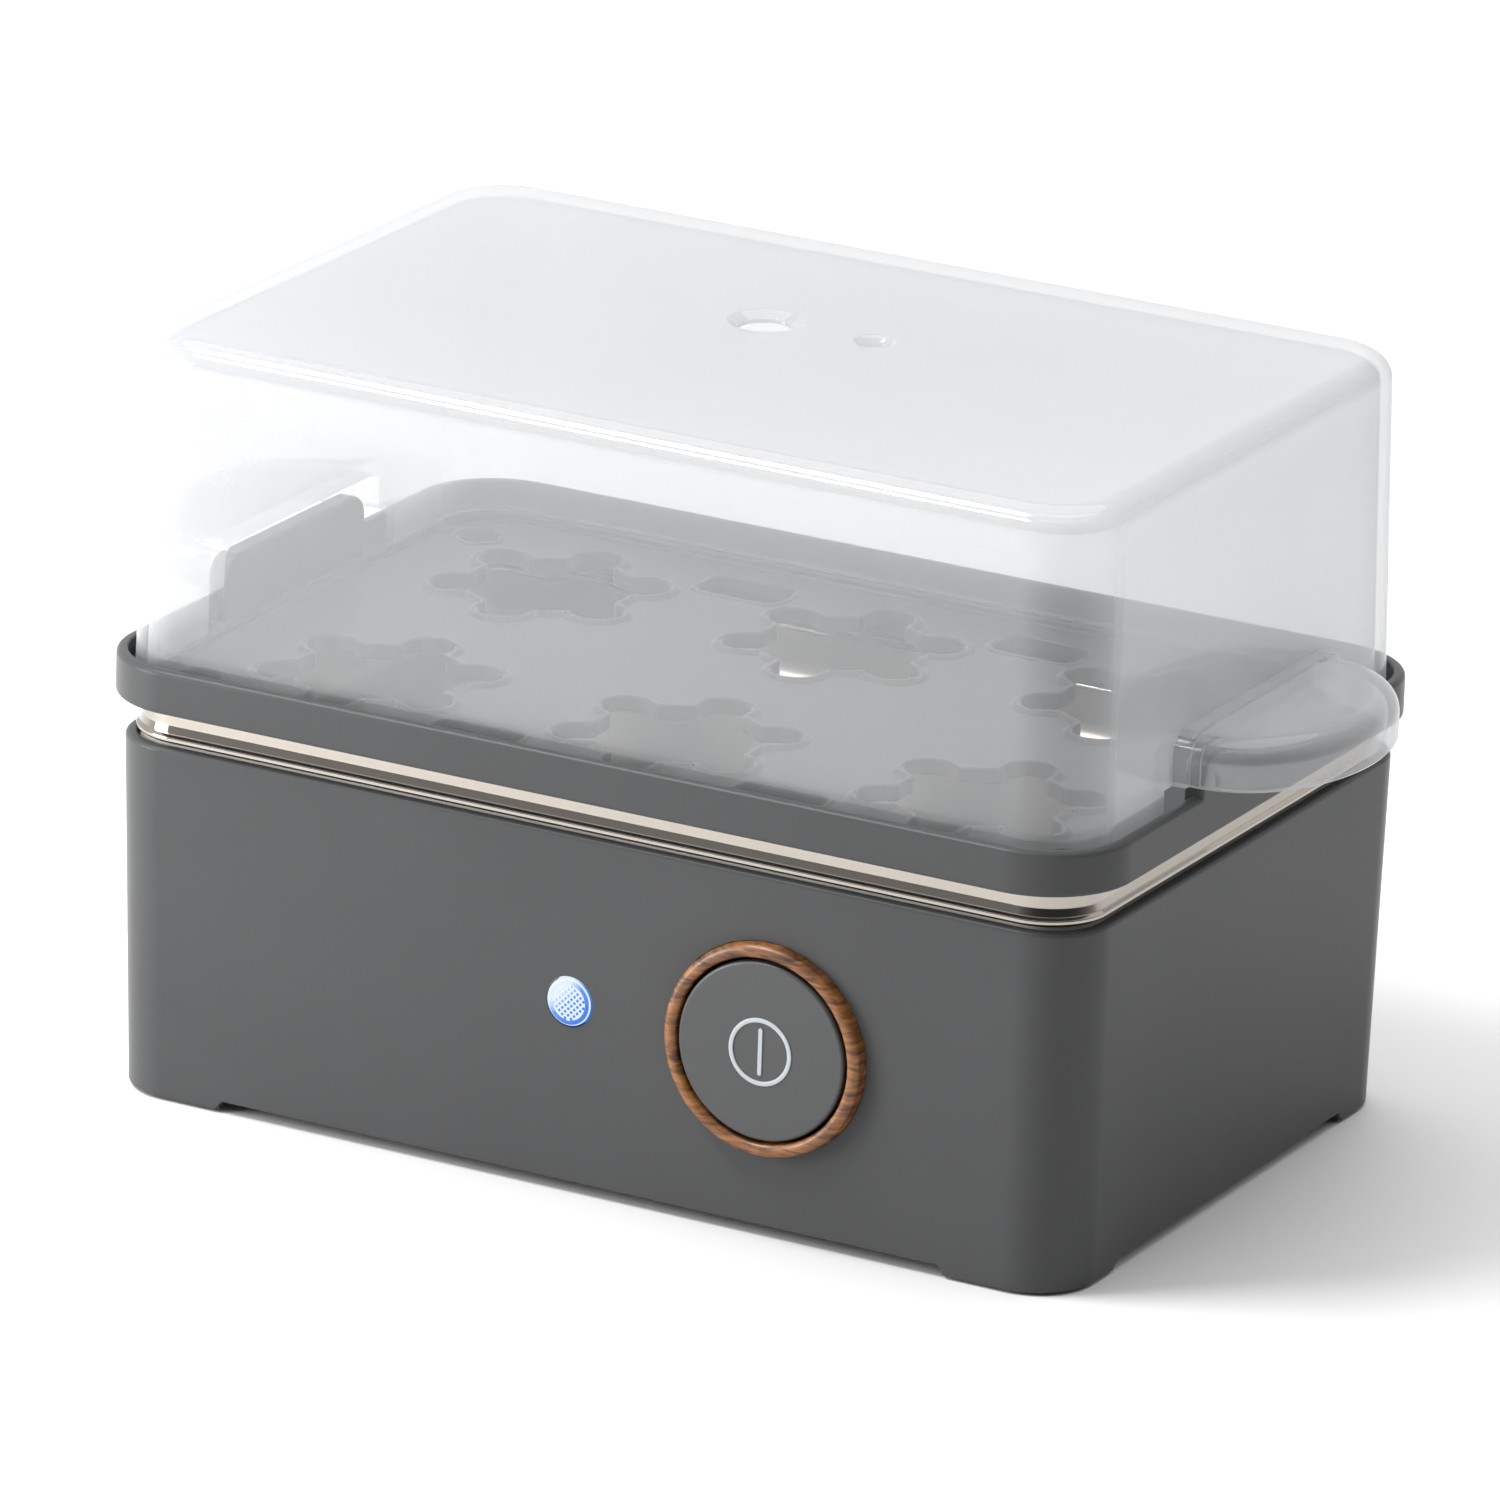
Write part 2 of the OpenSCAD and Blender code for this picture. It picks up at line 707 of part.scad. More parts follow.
module switch_bracket() {
    color("#aeb0b2") difference() {
        translate([button_x - bracket_dx - 3.6, bracket_y, button_z - 11])
            cube([2 * bracket_dx + 7.2, bracket_t, 22]);
        bar_y(button_x, button_z, stem_d + 1, bracket_y - 1, bracket_y + bracket_t + 1);
        for (s = BOTH)
            bar_y(button_x + s * bracket_dx, button_z, 3.2, bracket_y - 1, bracket_y + bracket_t + 1);
    }
}

module bracket_screws() {
    back = bracket_y + bracket_t;
    color("silver") for (s = BOTH) {
        bar_y(button_x + s * bracket_dx, button_z, 5.6, back, back + 2);
        bar_y(button_x + s * bracket_dx, button_z, screw_d, bracket_y - 7, back + 0.5);
    }
}

// ---------- Lamp ----------

module indicator_lens() {
    color("#b8d4ff") {
        bar_y(lamp_x, lamp_z, lamp_d, lens_front + 0.5, lens_back);
        bar_y(lamp_x, lamp_z, lamp_d - 1.2, lens_front, lens_front + 1);
        bar_y(lamp_x, lamp_z, lamp_d + 2.3, lens_back - 1, lens_back);
    }
}

module indicator_led() {
    color("#eef4ff") {
        bar_y(lamp_x, lamp_z, led_d, led_dome_y, board_y - 1);
        bar_y(lamp_x, lamp_z, led_d + 0.8, board_y - 1.1, board_y);
        difference() {
            translate([lamp_x, led_dome_y, lamp_z]) sphere(d = led_d);
            translate([lamp_x - led_d, led_dome_y, lamp_z - led_d]) cube(2 * led_d);
        }
    }
}

module led_board() {
    color("#2f6b45") difference() {
        translate([lamp_x - 8, board_y, post_z - 3.5]) cube([16, board_t, 20]);
        for (s = BOTH) bar_y(lamp_x + s * post_x, post_z, 2.3, board_y - 1, board_y + board_t + 1);
    }
}

module led_resistor() {
    color("#cdb68c") translate([lamp_x - 3.2, board_y + board_t + 1.2, 31.5])
        rotate([0, 90, 0]) cylinder(d = 2.4, h = 6.4);
}

module board_screws() {
    back = board_y + board_t;
    color("silver") for (s = BOTH) {
        bar_y(lamp_x + s * post_x, post_z, 4, back, back + 1.5);
        bar_y(lamp_x + s * post_x, post_z, 2, board_y - 4, back + 0.5);
    }
}

// ---------- Mains entry ----------

module terminal_block() {
    color("#ddd9cf") difference() {
        translate([block_x - 12.5, block_y - 5, cover_top]) cube([25, 10, 14]);
        for (k = [-1:1]) {
            bar_y(block_x + k * pole_pitch, wire_row_z, 3, block_y - 6, block_y - 1.5);
            bar_y(block_x + k * pole_pitch, wire_row_z, 3, block_y + 1.5, block_y + 6);
            bar_y(block_x + k * pole_pitch, lamp_row_z, 2, block_y - 6, block_y - 1.5);
            translate([block_x + k * pole_pitch, block_y, cover_top + 10]) cylinder(d = 4, h = 5);
        }
    }
}

module terminal_screws() {
    color("silver") for (k = [-1:1]) translate([block_x + k * pole_pitch, block_y, cover_top + 10])
        difference() {
            cylinder(d = 3.8, h = 3);
            translate([-2, -0.4, 2.2]) cube([4, 0.8, 2]);
        }
}

// Bushing in the back wall that the mains cord leaves through
module cord_gland() {
    color("#2b2c2e") difference() {
        union() {
            bar_y(gland_x, gland_z, 12, gland_back, gland_seat + 0.5);
            bar_y(gland_x, gland_z, 14.6, gland_back + 3.6, 55.4);
            bar_y(gland_x, gland_z, 17, gland_seat, 60);
            bar_y(gland_x, gland_z, 11.5, 59.5, gland_front);
        }
        bar_y(gland_x, gland_z, gland_bore, gland_back - 1, gland_front + 1);
    }
}

module cord_clamp() {
    color("#3a3c3e") difference() {
        translate([gland_x - clamp_dx - 3.5, clamp_y - 3.2, clamp_z])
            cube([2 * clamp_dx + 7, 6.4, clamp_t]);
        bar_y(gland_x, gland_z, gland_bore, clamp_y - 5, clamp_y + 5);
        for (s = BOTH) translate([gland_x + s * clamp_dx, clamp_y, clamp_z - 1]) cylinder(d = 3.2, h = 6);
    }
}

module clamp_screws() {
    top = clamp_z + clamp_t;
    color("silver") for (s = BOTH) translate([gland_x + s * clamp_dx, clamp_y, 0]) {
        translate([0, 0, top]) cylinder(d = 5.6, h = 2);
        translate([0, 0, clamp_z - 9]) cylinder(d = screw_d, h = top + 0.5 - clamp_z + 9);
    }
}

// ---------- Wiring ----------

module live_wire() {
    color("#6b4a2f") wire(live_route, mains_r);
}

module switched_wire() {
    color("#6b4a2f") wire(switched_route, mains_r);
}

module fuse_wire() {
    color("#e6e0d2") wire(fuse_route, mains_r);
}

module thermostat_wire() {
    color("#e6e0d2") wire(thermostat_route, mains_r);
}

module neutral_wire() {
    color("#2f5f9a") wire(neutral_route, mains_r);
}

module earth_wire() {
    color("#7f9a2e") wire(earth_route, mains_r);
}

module lamp_wires() {
    color("#b0302c") wire(lamp_neutral_route, lamp_wire_r);
    color("#b0302c") wire(lamp_live_route, lamp_wire_r);
}

// ---------- Egg tray ----------

// Round hole with six small lobes for steam; grow widens it for the lip
module seat_outline(grow) {
    circle(seat_r + grow);
    for (a = [lobe_step / 2:lobe_step:360])
        rotate(a) translate([lobe_at, 0]) circle(lobe_r + grow);
}

module at_seats() {
    for (i = [-1:1], s = BOTH) translate([i * seat_pitch_l, s * seat_pitch_w / 2, 0]) children();
}

// Upright tab with round top corners, in the middle of a short side
module tray_tab() {
    translate([tray_l / 2 - tab_t, 0, 0]) rotate([90, 0, 90]) linear_extrude(tab_t) {
        translate([-tab_half, tray_bottom]) square([2 * tab_half, tab_top - tab_round - tray_bottom]);
        translate([-tab_half + tab_round, tray_bottom])
            square([2 * (tab_half - tab_round), tab_top - tray_bottom]);
        for (s = BOTH) translate([s * (tab_half - tab_round), tab_top - tab_round]) circle(tab_round);
    }
}

module egg_tray() {
    well_l = tray_l - 2 * ring_wall;
    well_w = tray_w - 2 * ring_wall;
    well_r = ring_corner - ring_wall;
    color("#5a5d5f") difference() {
        union() {
            difference() {
                union() {
                    block(tray_l, tray_w, ring_corner, tray_bottom, tray_top);
                    block(skirt_l, skirt_w, pan_r - 1, skirt_z, tray_bottom + 0.5);
                }
                block(well_l, well_w, well_r, ledge_z, tray_top + 1);
                block(well_l - 2 * ledge_w, well_w - 2 * ledge_w, well_r - ledge_w, deck_z, tray_top);
                block(skirt_l - 2 * skirt_t, skirt_w - 2 * skirt_t, pan_r - 1 - skirt_t,
                    skirt_z - 1, deck_under);
            }
            at_seats() translate([0, 0, deck_z - 0.1]) linear_extrude(lip_z - deck_z + 0.1)
                seat_outline(lip_w);
            for (s = BOTH) scale([s, 1, 1]) tray_tab();
        }
        at_seats() translate([0, 0, skirt_z]) linear_extrude(12) seat_outline(0);
        for (sx = BOTH, sy = BOTH) translate([sx * slot_x, sy * slot_y, 0])
            block(slot_l, slot_w, 2.5, skirt_z, tray_top);
        corners(corner_hole_x, corner_hole_y) translate([0, 0, skirt_z])
            cylinder(d = corner_hole_d, h = 12);
    }
}

// ---------- Lid ----------

module lid_form(inset, z0, z1) {
    round_r = lid_round - inset / 2;
    hull() {
        layer(lid_l - 2 * inset, lid_w - 2 * inset, lid_r - inset, z0);
        for (a = [0:22.5:90])
            layer(lid_top_l - 2 * inset - 2 * round_r * (1 - cos(a)),
                lid_top_w - 2 * inset - 2 * round_r * (1 - cos(a)),
                lid_r - inset - round_r * (1 - cos(a)) * 0.6,
                z1 - round_r * (1 - sin(a)) - SKIN);
    }
}

// Half-moon outline of a handle, from its straight side out
module half_moon(half, reach) {
    x0 = hood_x + hood_flange - 0.5;
    fullness = 0.88;
    polygon([for (a = [-90:6:90])
        [x0 + (reach - x0) * pow(abs(cos(a)), fullness), half * sin(a)]]);
}

module moon_layer(half, reach, z) {
    translate([0, 0, z]) linear_extrude(SKIN) half_moon(half, reach);
}

module hood_form() {
    hull() {
        moon_layer(handle_half - 0.3, handle_reach - 0.8, hood_bottom);
        moon_layer(handle_half, handle_reach, 82);
        moon_layer(handle_half - 1, handle_reach - 1.6, 85.2);
        moon_layer(handle_half - 2.2, handle_reach - 3.2, 86.1);
        moon_layer(handle_half - 4, handle_reach - 5.5, hood_top - 0.4);
    }
}

module hood_hollow() {
    hull() {
        moon_layer(handle_half - 2, handle_reach - 2.4, hood_bottom - 2);
        moon_layer(handle_half - 1.8, handle_reach - 1.9, 82);
        moon_layer(handle_half - 4, handle_reach - 5, 84.8);
    }
}

// Arch across the short side, from x0 for t, with round top corners
module arch(half, top, r, x0, t) {
    translate([x0, 0, 0]) rotate([90, 0, 90]) linear_extrude(t) {
        translate([-half, hood_bottom]) square([2 * half, top - r - hood_bottom]);
        translate([-half + r, hood_bottom]) square([2 * (half - r), top - hood_bottom]);
        for (s = BOTH) translate([s * (half - r), top - r]) circle(r);
    }
}

// Steam hole with a sloping rim
module vent(x, d, rim) {
    translate([x, vent_y, lid_top - 6]) cylinder(d = d, h = 8);
    translate([x, vent_y, lid_top - 1.2]) cylinder(d1 = d, d2 = rim + 0.3, h = 1.3);
}

module lid() {
    color("#dfe6ea", 0.45) difference() {
        union() {
            difference() {
                union() {
                    lid_form(0, lid_bottom, lid_top);
                    for (s = BOTH) scale([s, 1, 1])
                        arch(handle_half + 0.7, hood_top, 4, hood_x - 1, hood_flange + 1);
                }
                lid_form(lid_wall, lid_bottom - 1, lid_top - 1.8);
            }
            for (s = BOTH) scale([s, 1, 1]) hood_form();
        }
        for (s = BOTH) scale([s, 1, 1]) {
            arch(handle_half - 1.3, hood_top - 1.8, 3, hood_x - 4, hood_flange + 6);
            hood_hollow();
            translate([hood_x - 6, -cutout_half, lid_bottom - 1])
                cube([10, 2 * cutout_half, hood_bottom - lid_bottom + 1]);
        }
        vent(vent_big_x, vent_big_d, vent_big_rim);
        vent(vent_small_x, vent_small_d, vent_small_rim);
    }
}

housing();
bottom_cover();
foot_pads();
cover_screws();
pan_gasket();
heating_pan();
pan_studs();
pan_washers();
pan_nuts();
heat_spreader();
heating_element();
element_terminals();
thermostat();
thermostat_strap();
heater_screws();
thermal_fuse();
fuse_clip();
earth_tag();
earth_nut();
button_bezel();
power_button();
power_icon();
button_spring();
switch_plunger();
switch_body();
switch_terminals();
switch_bracket();
bracket_screws();
indicator_lens();
indicator_led();
led_board();
led_resistor();
board_screws();
terminal_block();
terminal_screws();
cord_gland();
cord_clamp();
clamp_screws();
live_wire();
switched_wire();
fuse_wire();
thermostat_wire();
neutral_wire();
earth_wire();
lamp_wires();
egg_tray();
lid();
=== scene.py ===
"""The looks of a six-egg cooker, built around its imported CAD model.

Lengths are millimetres in the numbers below and metres in Blender: MM turns one into the other.
X runs along the long side, the push button faces -Y and Z is up.
"""

import json
import math

import bmesh
import bpy
from mathutils import Matrix, Vector

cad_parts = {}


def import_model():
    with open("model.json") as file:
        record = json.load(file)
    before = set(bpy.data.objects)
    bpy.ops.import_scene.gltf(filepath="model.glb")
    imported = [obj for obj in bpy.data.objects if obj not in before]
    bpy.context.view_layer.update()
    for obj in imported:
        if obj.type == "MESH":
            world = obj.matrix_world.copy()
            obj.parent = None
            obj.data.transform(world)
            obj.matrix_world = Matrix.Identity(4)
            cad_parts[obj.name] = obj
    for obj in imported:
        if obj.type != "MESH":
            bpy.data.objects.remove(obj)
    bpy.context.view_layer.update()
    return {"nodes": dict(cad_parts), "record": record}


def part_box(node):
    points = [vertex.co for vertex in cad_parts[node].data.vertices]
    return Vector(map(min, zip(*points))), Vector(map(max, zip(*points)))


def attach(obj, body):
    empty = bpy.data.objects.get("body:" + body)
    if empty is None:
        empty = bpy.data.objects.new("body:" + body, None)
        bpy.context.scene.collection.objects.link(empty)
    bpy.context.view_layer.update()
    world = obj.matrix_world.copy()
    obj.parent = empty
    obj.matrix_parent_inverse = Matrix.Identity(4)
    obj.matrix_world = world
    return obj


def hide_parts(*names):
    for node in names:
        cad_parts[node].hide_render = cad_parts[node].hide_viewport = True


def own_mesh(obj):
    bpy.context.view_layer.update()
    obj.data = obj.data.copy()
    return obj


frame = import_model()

MM = 0.001
CORNER_STEPS = 14  # straight pieces in a quarter of a round corner
FILLET_STEPS = 5
LATHE_STEPS = 128
AXIS = 0.01  # radius at which the end faces of a turned solid close
SHARP = math.radians(38)  # an edge that bends more than this stays sharp


# ---------- Reading the frame ----------


def extent(node):
    """Lowest corner, highest corner and middle of a CAD node, in millimetres."""
    low, high = (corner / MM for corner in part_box(node))
    return low, high, (low + high) / 2


HOUSING_LOW, HOUSING_HIGH, _ = extent("housing")
PAN_LOW, PAN_HIGH, _ = extent("heating_pan")
TRAY_LOW, TRAY_HIGH, _ = extent("egg_tray")
LID_LOW, LID_HIGH, _ = extent("lid")
BEZEL_LOW, BEZEL_HIGH, BUTTON = extent("button_bezel")
DISC_LOW, DISC_HIGH, _ = extent("power_button")
LENS_LOW, LENS_HIGH, LAMP = extent("indicator_lens")
GLAND_LOW, GLAND_HIGH, GLAND = extent("cord_gland")


# ---------- Outlines ----------


def arc(centre, radius, start, stop, steps):
    """Points on an arc in degrees, both ends included."""
    angles = [math.radians(start + (stop - start) * i / steps) for i in range(steps + 1)]
    return [(centre[0] + radius * math.cos(a), centre[1] + radius * math.sin(a)) for a in angles]


def circle(x, y, radius, steps):
    """A closed circle: its last point stops one step before its first."""
    return arc((x, y), radius, 0, 360 - 360 / steps, steps - 1)


def rounded(length, width, radius, stops_x=(), stops_y=()):
    """Outline of a rectangle with round corners, with extra points on its sides at the stops."""
    x, y = length / 2, width / 2
    r = max(radius, 0.3)
    points = arc((x - r, y - r), r, 0, 90, CORNER_STEPS)
    points += [(s, y) for s in reversed(stops_x)] + [(-s, y) for s in stops_x]
    points += arc((r - x, y - r), r, 90, 180, CORNER_STEPS)
    points += [(-x, s) for s in reversed(stops_y)] + [(-x, -s) for s in stops_y]
    points += arc((r - x, r - y), r, 180, 270, CORNER_STEPS)
    points += [(-s, -y) for s in reversed(stops_x)] + [(s, -y) for s in stops_x]
    points += arc((x - r, r - y), r, 270, 360, CORNER_STEPS)
    points += [(x, -s) for s in reversed(stops_y)] + [(x, s) for s in stops_y]
    return points


def grown(points, amount):
    """A closed counter-clockwise outline moved outwards by an amount."""
    out = []
    for i, point in enumerate(points):
        p, a, b = Vector(point), Vector(points[i - 1]), Vector(points[(i + 1) % len(points)])
        before, after = (p - a).normalized(), (b - p).normalized()
        normal = Vector((before.y + after.y, -before.x - after.x)).normalized()
        lean = max(normal.dot(Vector((after.y, -after.x))), 0.4)
        out.append(tuple(p + normal * amount / lean))
    return out


def filleted(points, steps=FILLET_STEPS):
    """A path through (a, b, radius) points whose corners are rounded to their radius."""
    flat = [Vector((a, b, 0)) for a, b, _ in points]
    out = []
    for i, (a, b, radius) in enumerate(points):
        if radius == 0 or i in (0, len(points) - 1):
            out.append((a, b))
            continue
        back, on = flat[i - 1] - flat[i], flat[i + 1] - flat[i]
        half = back.angle(on) / 2
        reach = min(radius / math.tan(half), 0.49 * back.length, 0.49 * on.length)
        centre = flat[i] + (back.normalized() + on.normalized()).normalized() * reach / math.cos(half)
        first = (flat[i] + back.normalized() * reach - centre).normalized()
        last = (flat[i] + on.normalized() * reach - centre).normalized()
        for k in range(steps + 1):
            p = centre + first.slerp(last, k / steps) * reach * math.tan(half)
            out.append((p.x, p.y))
    return out


# ---------- Meshes ----------


def new_object(name, data):
    obj = bpy.data.objects.new(name, data)
    bpy.context.scene.collection.objects.link(obj)
    return obj


def from_bmesh(name, bm):
    bmesh.ops.remove_doubles(bm, verts=bm.verts, dist=0.002 * MM)
    bmesh.ops.recalc_face_normals(bm, faces=bm.faces)
    mesh = bpy.data.meshes.new(name)
    bm.to_mesh(mesh)
    bm.free()
    return new_object(name, mesh)


def loft(name, rings, closed=False):
    """A skin over rings of points in millimetres. An open one is capped at both ends."""
    bm = bmesh.new()
    rows = [[bm.verts.new(Vector(p) * MM) for p in ring] for ring in rings]
    count = len(rows[0])
    pairs = list(zip(rows, rows[1:])) + ([(rows[-1], rows[0])] if closed else [])
    for low, high in pairs:
        for i in range(count):
            j = (i + 1) % count
            bm.faces.new((low[i], low[j], high[j], high[i]))
    if not closed:
        bm.faces.new(rows[0])
        bm.faces.new(rows[-1])
    return from_bmesh(name, bm)


def level(points, z):
    return [(x, y, z) for x, y in points]


def prism(name, outline, profile, closed=False):
    """An upright shape: its outline grown by each (growth, z) of the profile."""
    return loft(name, [level(grown(outline, g), z) for g, z in profile], closed)


def lathe(name, centre, profile, closed=False, steps=LATHE_STEPS):
    """A round shape about an axis along Y through centre, from (radius, y) points."""
    rings = []
    for radius, y in profile:
        turn = [2 * math.pi * i / steps for i in range(steps)]
        rings.append([(centre.x + radius * math.cos(a), y, centre.z + radius * math.sin(a)) for a in turn])
    return loft(name, rings, closed)


def boolean(obj, other, operation):
    """Joins another object to obj or cuts it away, and deletes the other."""
    modifier = obj.modifiers.new("boolean", "BOOLEAN")
    modifier.object = other
    modifier.operation = operation
    modifier.solver = "EXACT"
    view = bpy.context.evaluated_depsgraph_get()
    mesh = bpy.data.meshes.new_from_object(obj.evaluated_get(view))
    obj.modifiers.clear()
    obj.data = mesh
    bpy.data.objects.remove(other)
    return obj


def join(obj, others):
    """Puts the meshes of the others into obj as shells of their own."""
    bm = bmesh.new()
    bm.from_mesh(obj.data)
    for other in others:
        bm.from_mesh(other.data)
        bpy.data.objects.remove(other)
    bm.to_mesh(obj.data)
    bm.free()
    return obj


def mirrored(obj, x, y):
    """A copy of obj on the other side: x and y are 1 or -1."""
    mesh = obj.data.copy()
    mesh.transform(Matrix.Diagonal((x, y, 1, 1)))
    if x * y < 0:
        mesh.flip_normals()
    return new_object(obj.name + "_copy", mesh)


def shade(obj):
    """Smooth shading that keeps sharp edges and flat faces."""
    bm = bmesh.new()
    bm.from_mesh(obj.data)
    for face in bm.faces:
        face.smooth = True
    for edge in bm.edges:
        edge.smooth = len(edge.link_faces) == 2 and edge.calc_face_angle(0) < SHARP
    bm.to_mesh(obj.data)
    bm.free()
    modifier = obj.modifiers.new("normals", "WEIGHTED_NORMAL")
    modifier.keep_sharp = True
    return obj


def place(obj, body, slot, node, material=None):
    """Shades a finished piece, gives it its material, ties it to its body and hides the CAD node that it
    replaces.
    """
    shade(obj)
    obj.data.materials.clear()
    obj.data.materials.append(material or MATERIALS[slot])
    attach(obj, body)
    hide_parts(node)


# ---------- Materials ----------


class Shader:
    """A material under construction: its node tree and its main shader."""

    def __init__(self, name):
        self.material = bpy.data.materials.new(name)
        self.material.use_nodes = True
        self.tree = self.material.node_tree
        self.main = self.tree.nodes["Principled BSDF"]
        self.output = self.tree.nodes["Material Output"]

    def add(self, kind, inputs=None, **settings):
        node = self.tree.nodes.new(kind)
        for key, value in settings.items():
            setattr(node, key, value)
        for key, value in (inputs or {}).items():
            self.put(node, key, value)
        return node

    def put(self, node, key, value):
        """Sets a socket, or links it when the value is another node's socket."""
        if isinstance(value, bpy.types.NodeSocket):
            self.tree.links.new(value, node.inputs[key])
        else:
            node.inputs[key].default_value = value

    def set(self, **values):
        """Sets sockets of the main shader: base_color means Base Color."""
        for key, value in values.items():
            self.put(self.main, key.replace("_", " ").title().replace("Ior", "IOR"), value)

    def math(self, operation, a, b=0.0):
        return self.add("ShaderNodeMath", {0: a, 1: b}, operation=operation).outputs[0]

    def rescale(self, value, low, high, to_low=0.0, to_high=1.0):
        """A value that goes from to_low to to_high as the input goes from low to high."""
        inputs = {"Value": value, "From Min": low, "From Max": high, "To Min": to_low, "To Max": to_high}
        return self.add("ShaderNodeMapRange", inputs).outputs["Result"]

    def place(self, scale=(1, 1, 1), rotation=(0, 0, 0)):
        """Coordinates on the object in metres, stretched and turned."""
        where = self.add("ShaderNodeTexCoord").outputs["Object"]
        inputs = {"Vector": where, "Scale": scale, "Rotation": rotation}
        return self.add("ShaderNodeMapping", inputs).outputs["Vector"]

    def noise(self, scale, detail=2.0, roughness=0.5, distortion=0.0, where=None):
        inputs = {
            "Vector": self.place() if where is None else where,
            "Scale": scale,
            "Detail": detail,
            "Roughness": roughness,
            "Distortion": distortion,
        }
        return self.add("ShaderNodeTexNoise", inputs).outputs["Fac"]

    def ramp(self, factor, *stops):
        """A colour ramp from (position, colour) stops."""
        node = self.add("ShaderNodeValToRGB", {"Fac": factor})
        elements = node.color_ramp.elements
        while len(elements) < len(stops):
            elements.new(0.5)
        for element, (position, colour) in zip(elements, stops):
            element.position = position
            element.color = (*colour, 1)
        return node.outputs["Color"]

    def between(self, factor, low, high):
        """A number from low to high as the factor goes from 0.3 to 0.7."""
        return self.rescale(factor, 0.3, 0.7, low, high)

    def bump(self, height, strength, distance):
        inputs = {"Height": height, "Strength": strength, "Distance": distance}
        self.put(self.main, "Normal", self.add("ShaderNodeBump", inputs).outputs["Normal"])


def shades_of(colour, spread):
    """A darker and a lighter shade of a colour."""
    return [tuple(c * k for c in colour) for k in (1 - spread, 1 + spread)]


def moulded(name, colour, rough=(0.30, 0.42), grain=0.35, depth=0.006, spread=0.05):
    """Moulded plastic or rubber: a fine spark-eroded grain and faint flow marks."""
    s = Shader(name)
    flow = s.noise(38, detail=3, distortion=0.4)
    dark, light = shades_of(colour, spread)
    s.set(base_color=s.ramp(flow, (0.3, dark), (0.7, light)))
    skin = s.noise(1 / (grain * MM), detail=2)
    s.set(roughness=s.between(skin, *rough))
    s.bump(skin, 0.35, depth * MM)
    return s


def metal(name, colour, rough=(0.22, 0.34), grain=0.25, along=(1, 1, 1), depth=0.003, spread=0.05):
    """Bare metal with a fine grain, drawn out along any axis whose scale is small."""
    s = Shader(name)
    lines = s.noise(1 / (grain * MM), detail=3, where=s.place(scale=along))
    dark, light = shades_of(colour, spread)
    s.set(metallic=1.0, base_color=s.ramp(lines, (0.3, dark), (0.7, light)))
    s.set(roughness=s.between(lines, *rough))
    s.bump(lines, 0.3, depth * MM)
    return s


def charcoal_plastic():
    colour = (0.068, 0.069, 0.0705)
    s = moulded("charcoal_plastic", colour, rough=(0.30, 0.36), grain=0.3, depth=0.004, spread=0.03)
    s.set(specular_ior_level=0.15)
    return s.material


def button_plastic():
    colour = (0.055, 0.056, 0.057)
    return moulded("button_plastic", colour, rough=(0.36, 0.44), grain=0.28, spread=0.03).material


def pan_steel():
    """Steel sheet, polished where it shows as a band and satin inside the basin."""
    s = metal("pan_steel", (0.40, 0.365, 0.325), grain=3, depth=0.001, spread=0.02)
    height = s.add("ShaderNodeSeparateXYZ", {"Vector": s.place()}).outputs["Z"]
    satin, polished = 0.38, 0.095
    s.set(roughness=s.rescale(height, (PAN_SHELF - 0.3) * MM, (PAN_SHELF + 0.2) * MM, satin, polished))
    return s.material


def walnut_ring():
    """Wood with dark streaks along the grain and fine pores."""
    s = Shader("walnut_ring")
    lean = (0, math.radians(-28), 0)
    long_way = s.place(scale=(1, 1, 5.5), rotation=lean)
    streak = s.noise(150, detail=5, roughness=0.62, distortion=0.9, where=long_way)
    colour = s.ramp(
        streak,
        (0.32, (0.028, 0.009, 0.003)),
        (0.43, (0.110, 0.038, 0.010)),
        (0.55, (0.235, 0.090, 0.023)),
        (0.72, (0.390, 0.170, 0.050)),
    )
    s.set(base_color=colour)
    pores = s.noise(900, detail=3, where=s.place(scale=(1, 1, 9), rotation=lean))
    s.set(roughness=s.between(pores, 0.34, 0.50), coat_weight=0.12, coat_roughness=0.2)
    s.bump(pores, 0.3, 0.02 * MM)
    return s.material


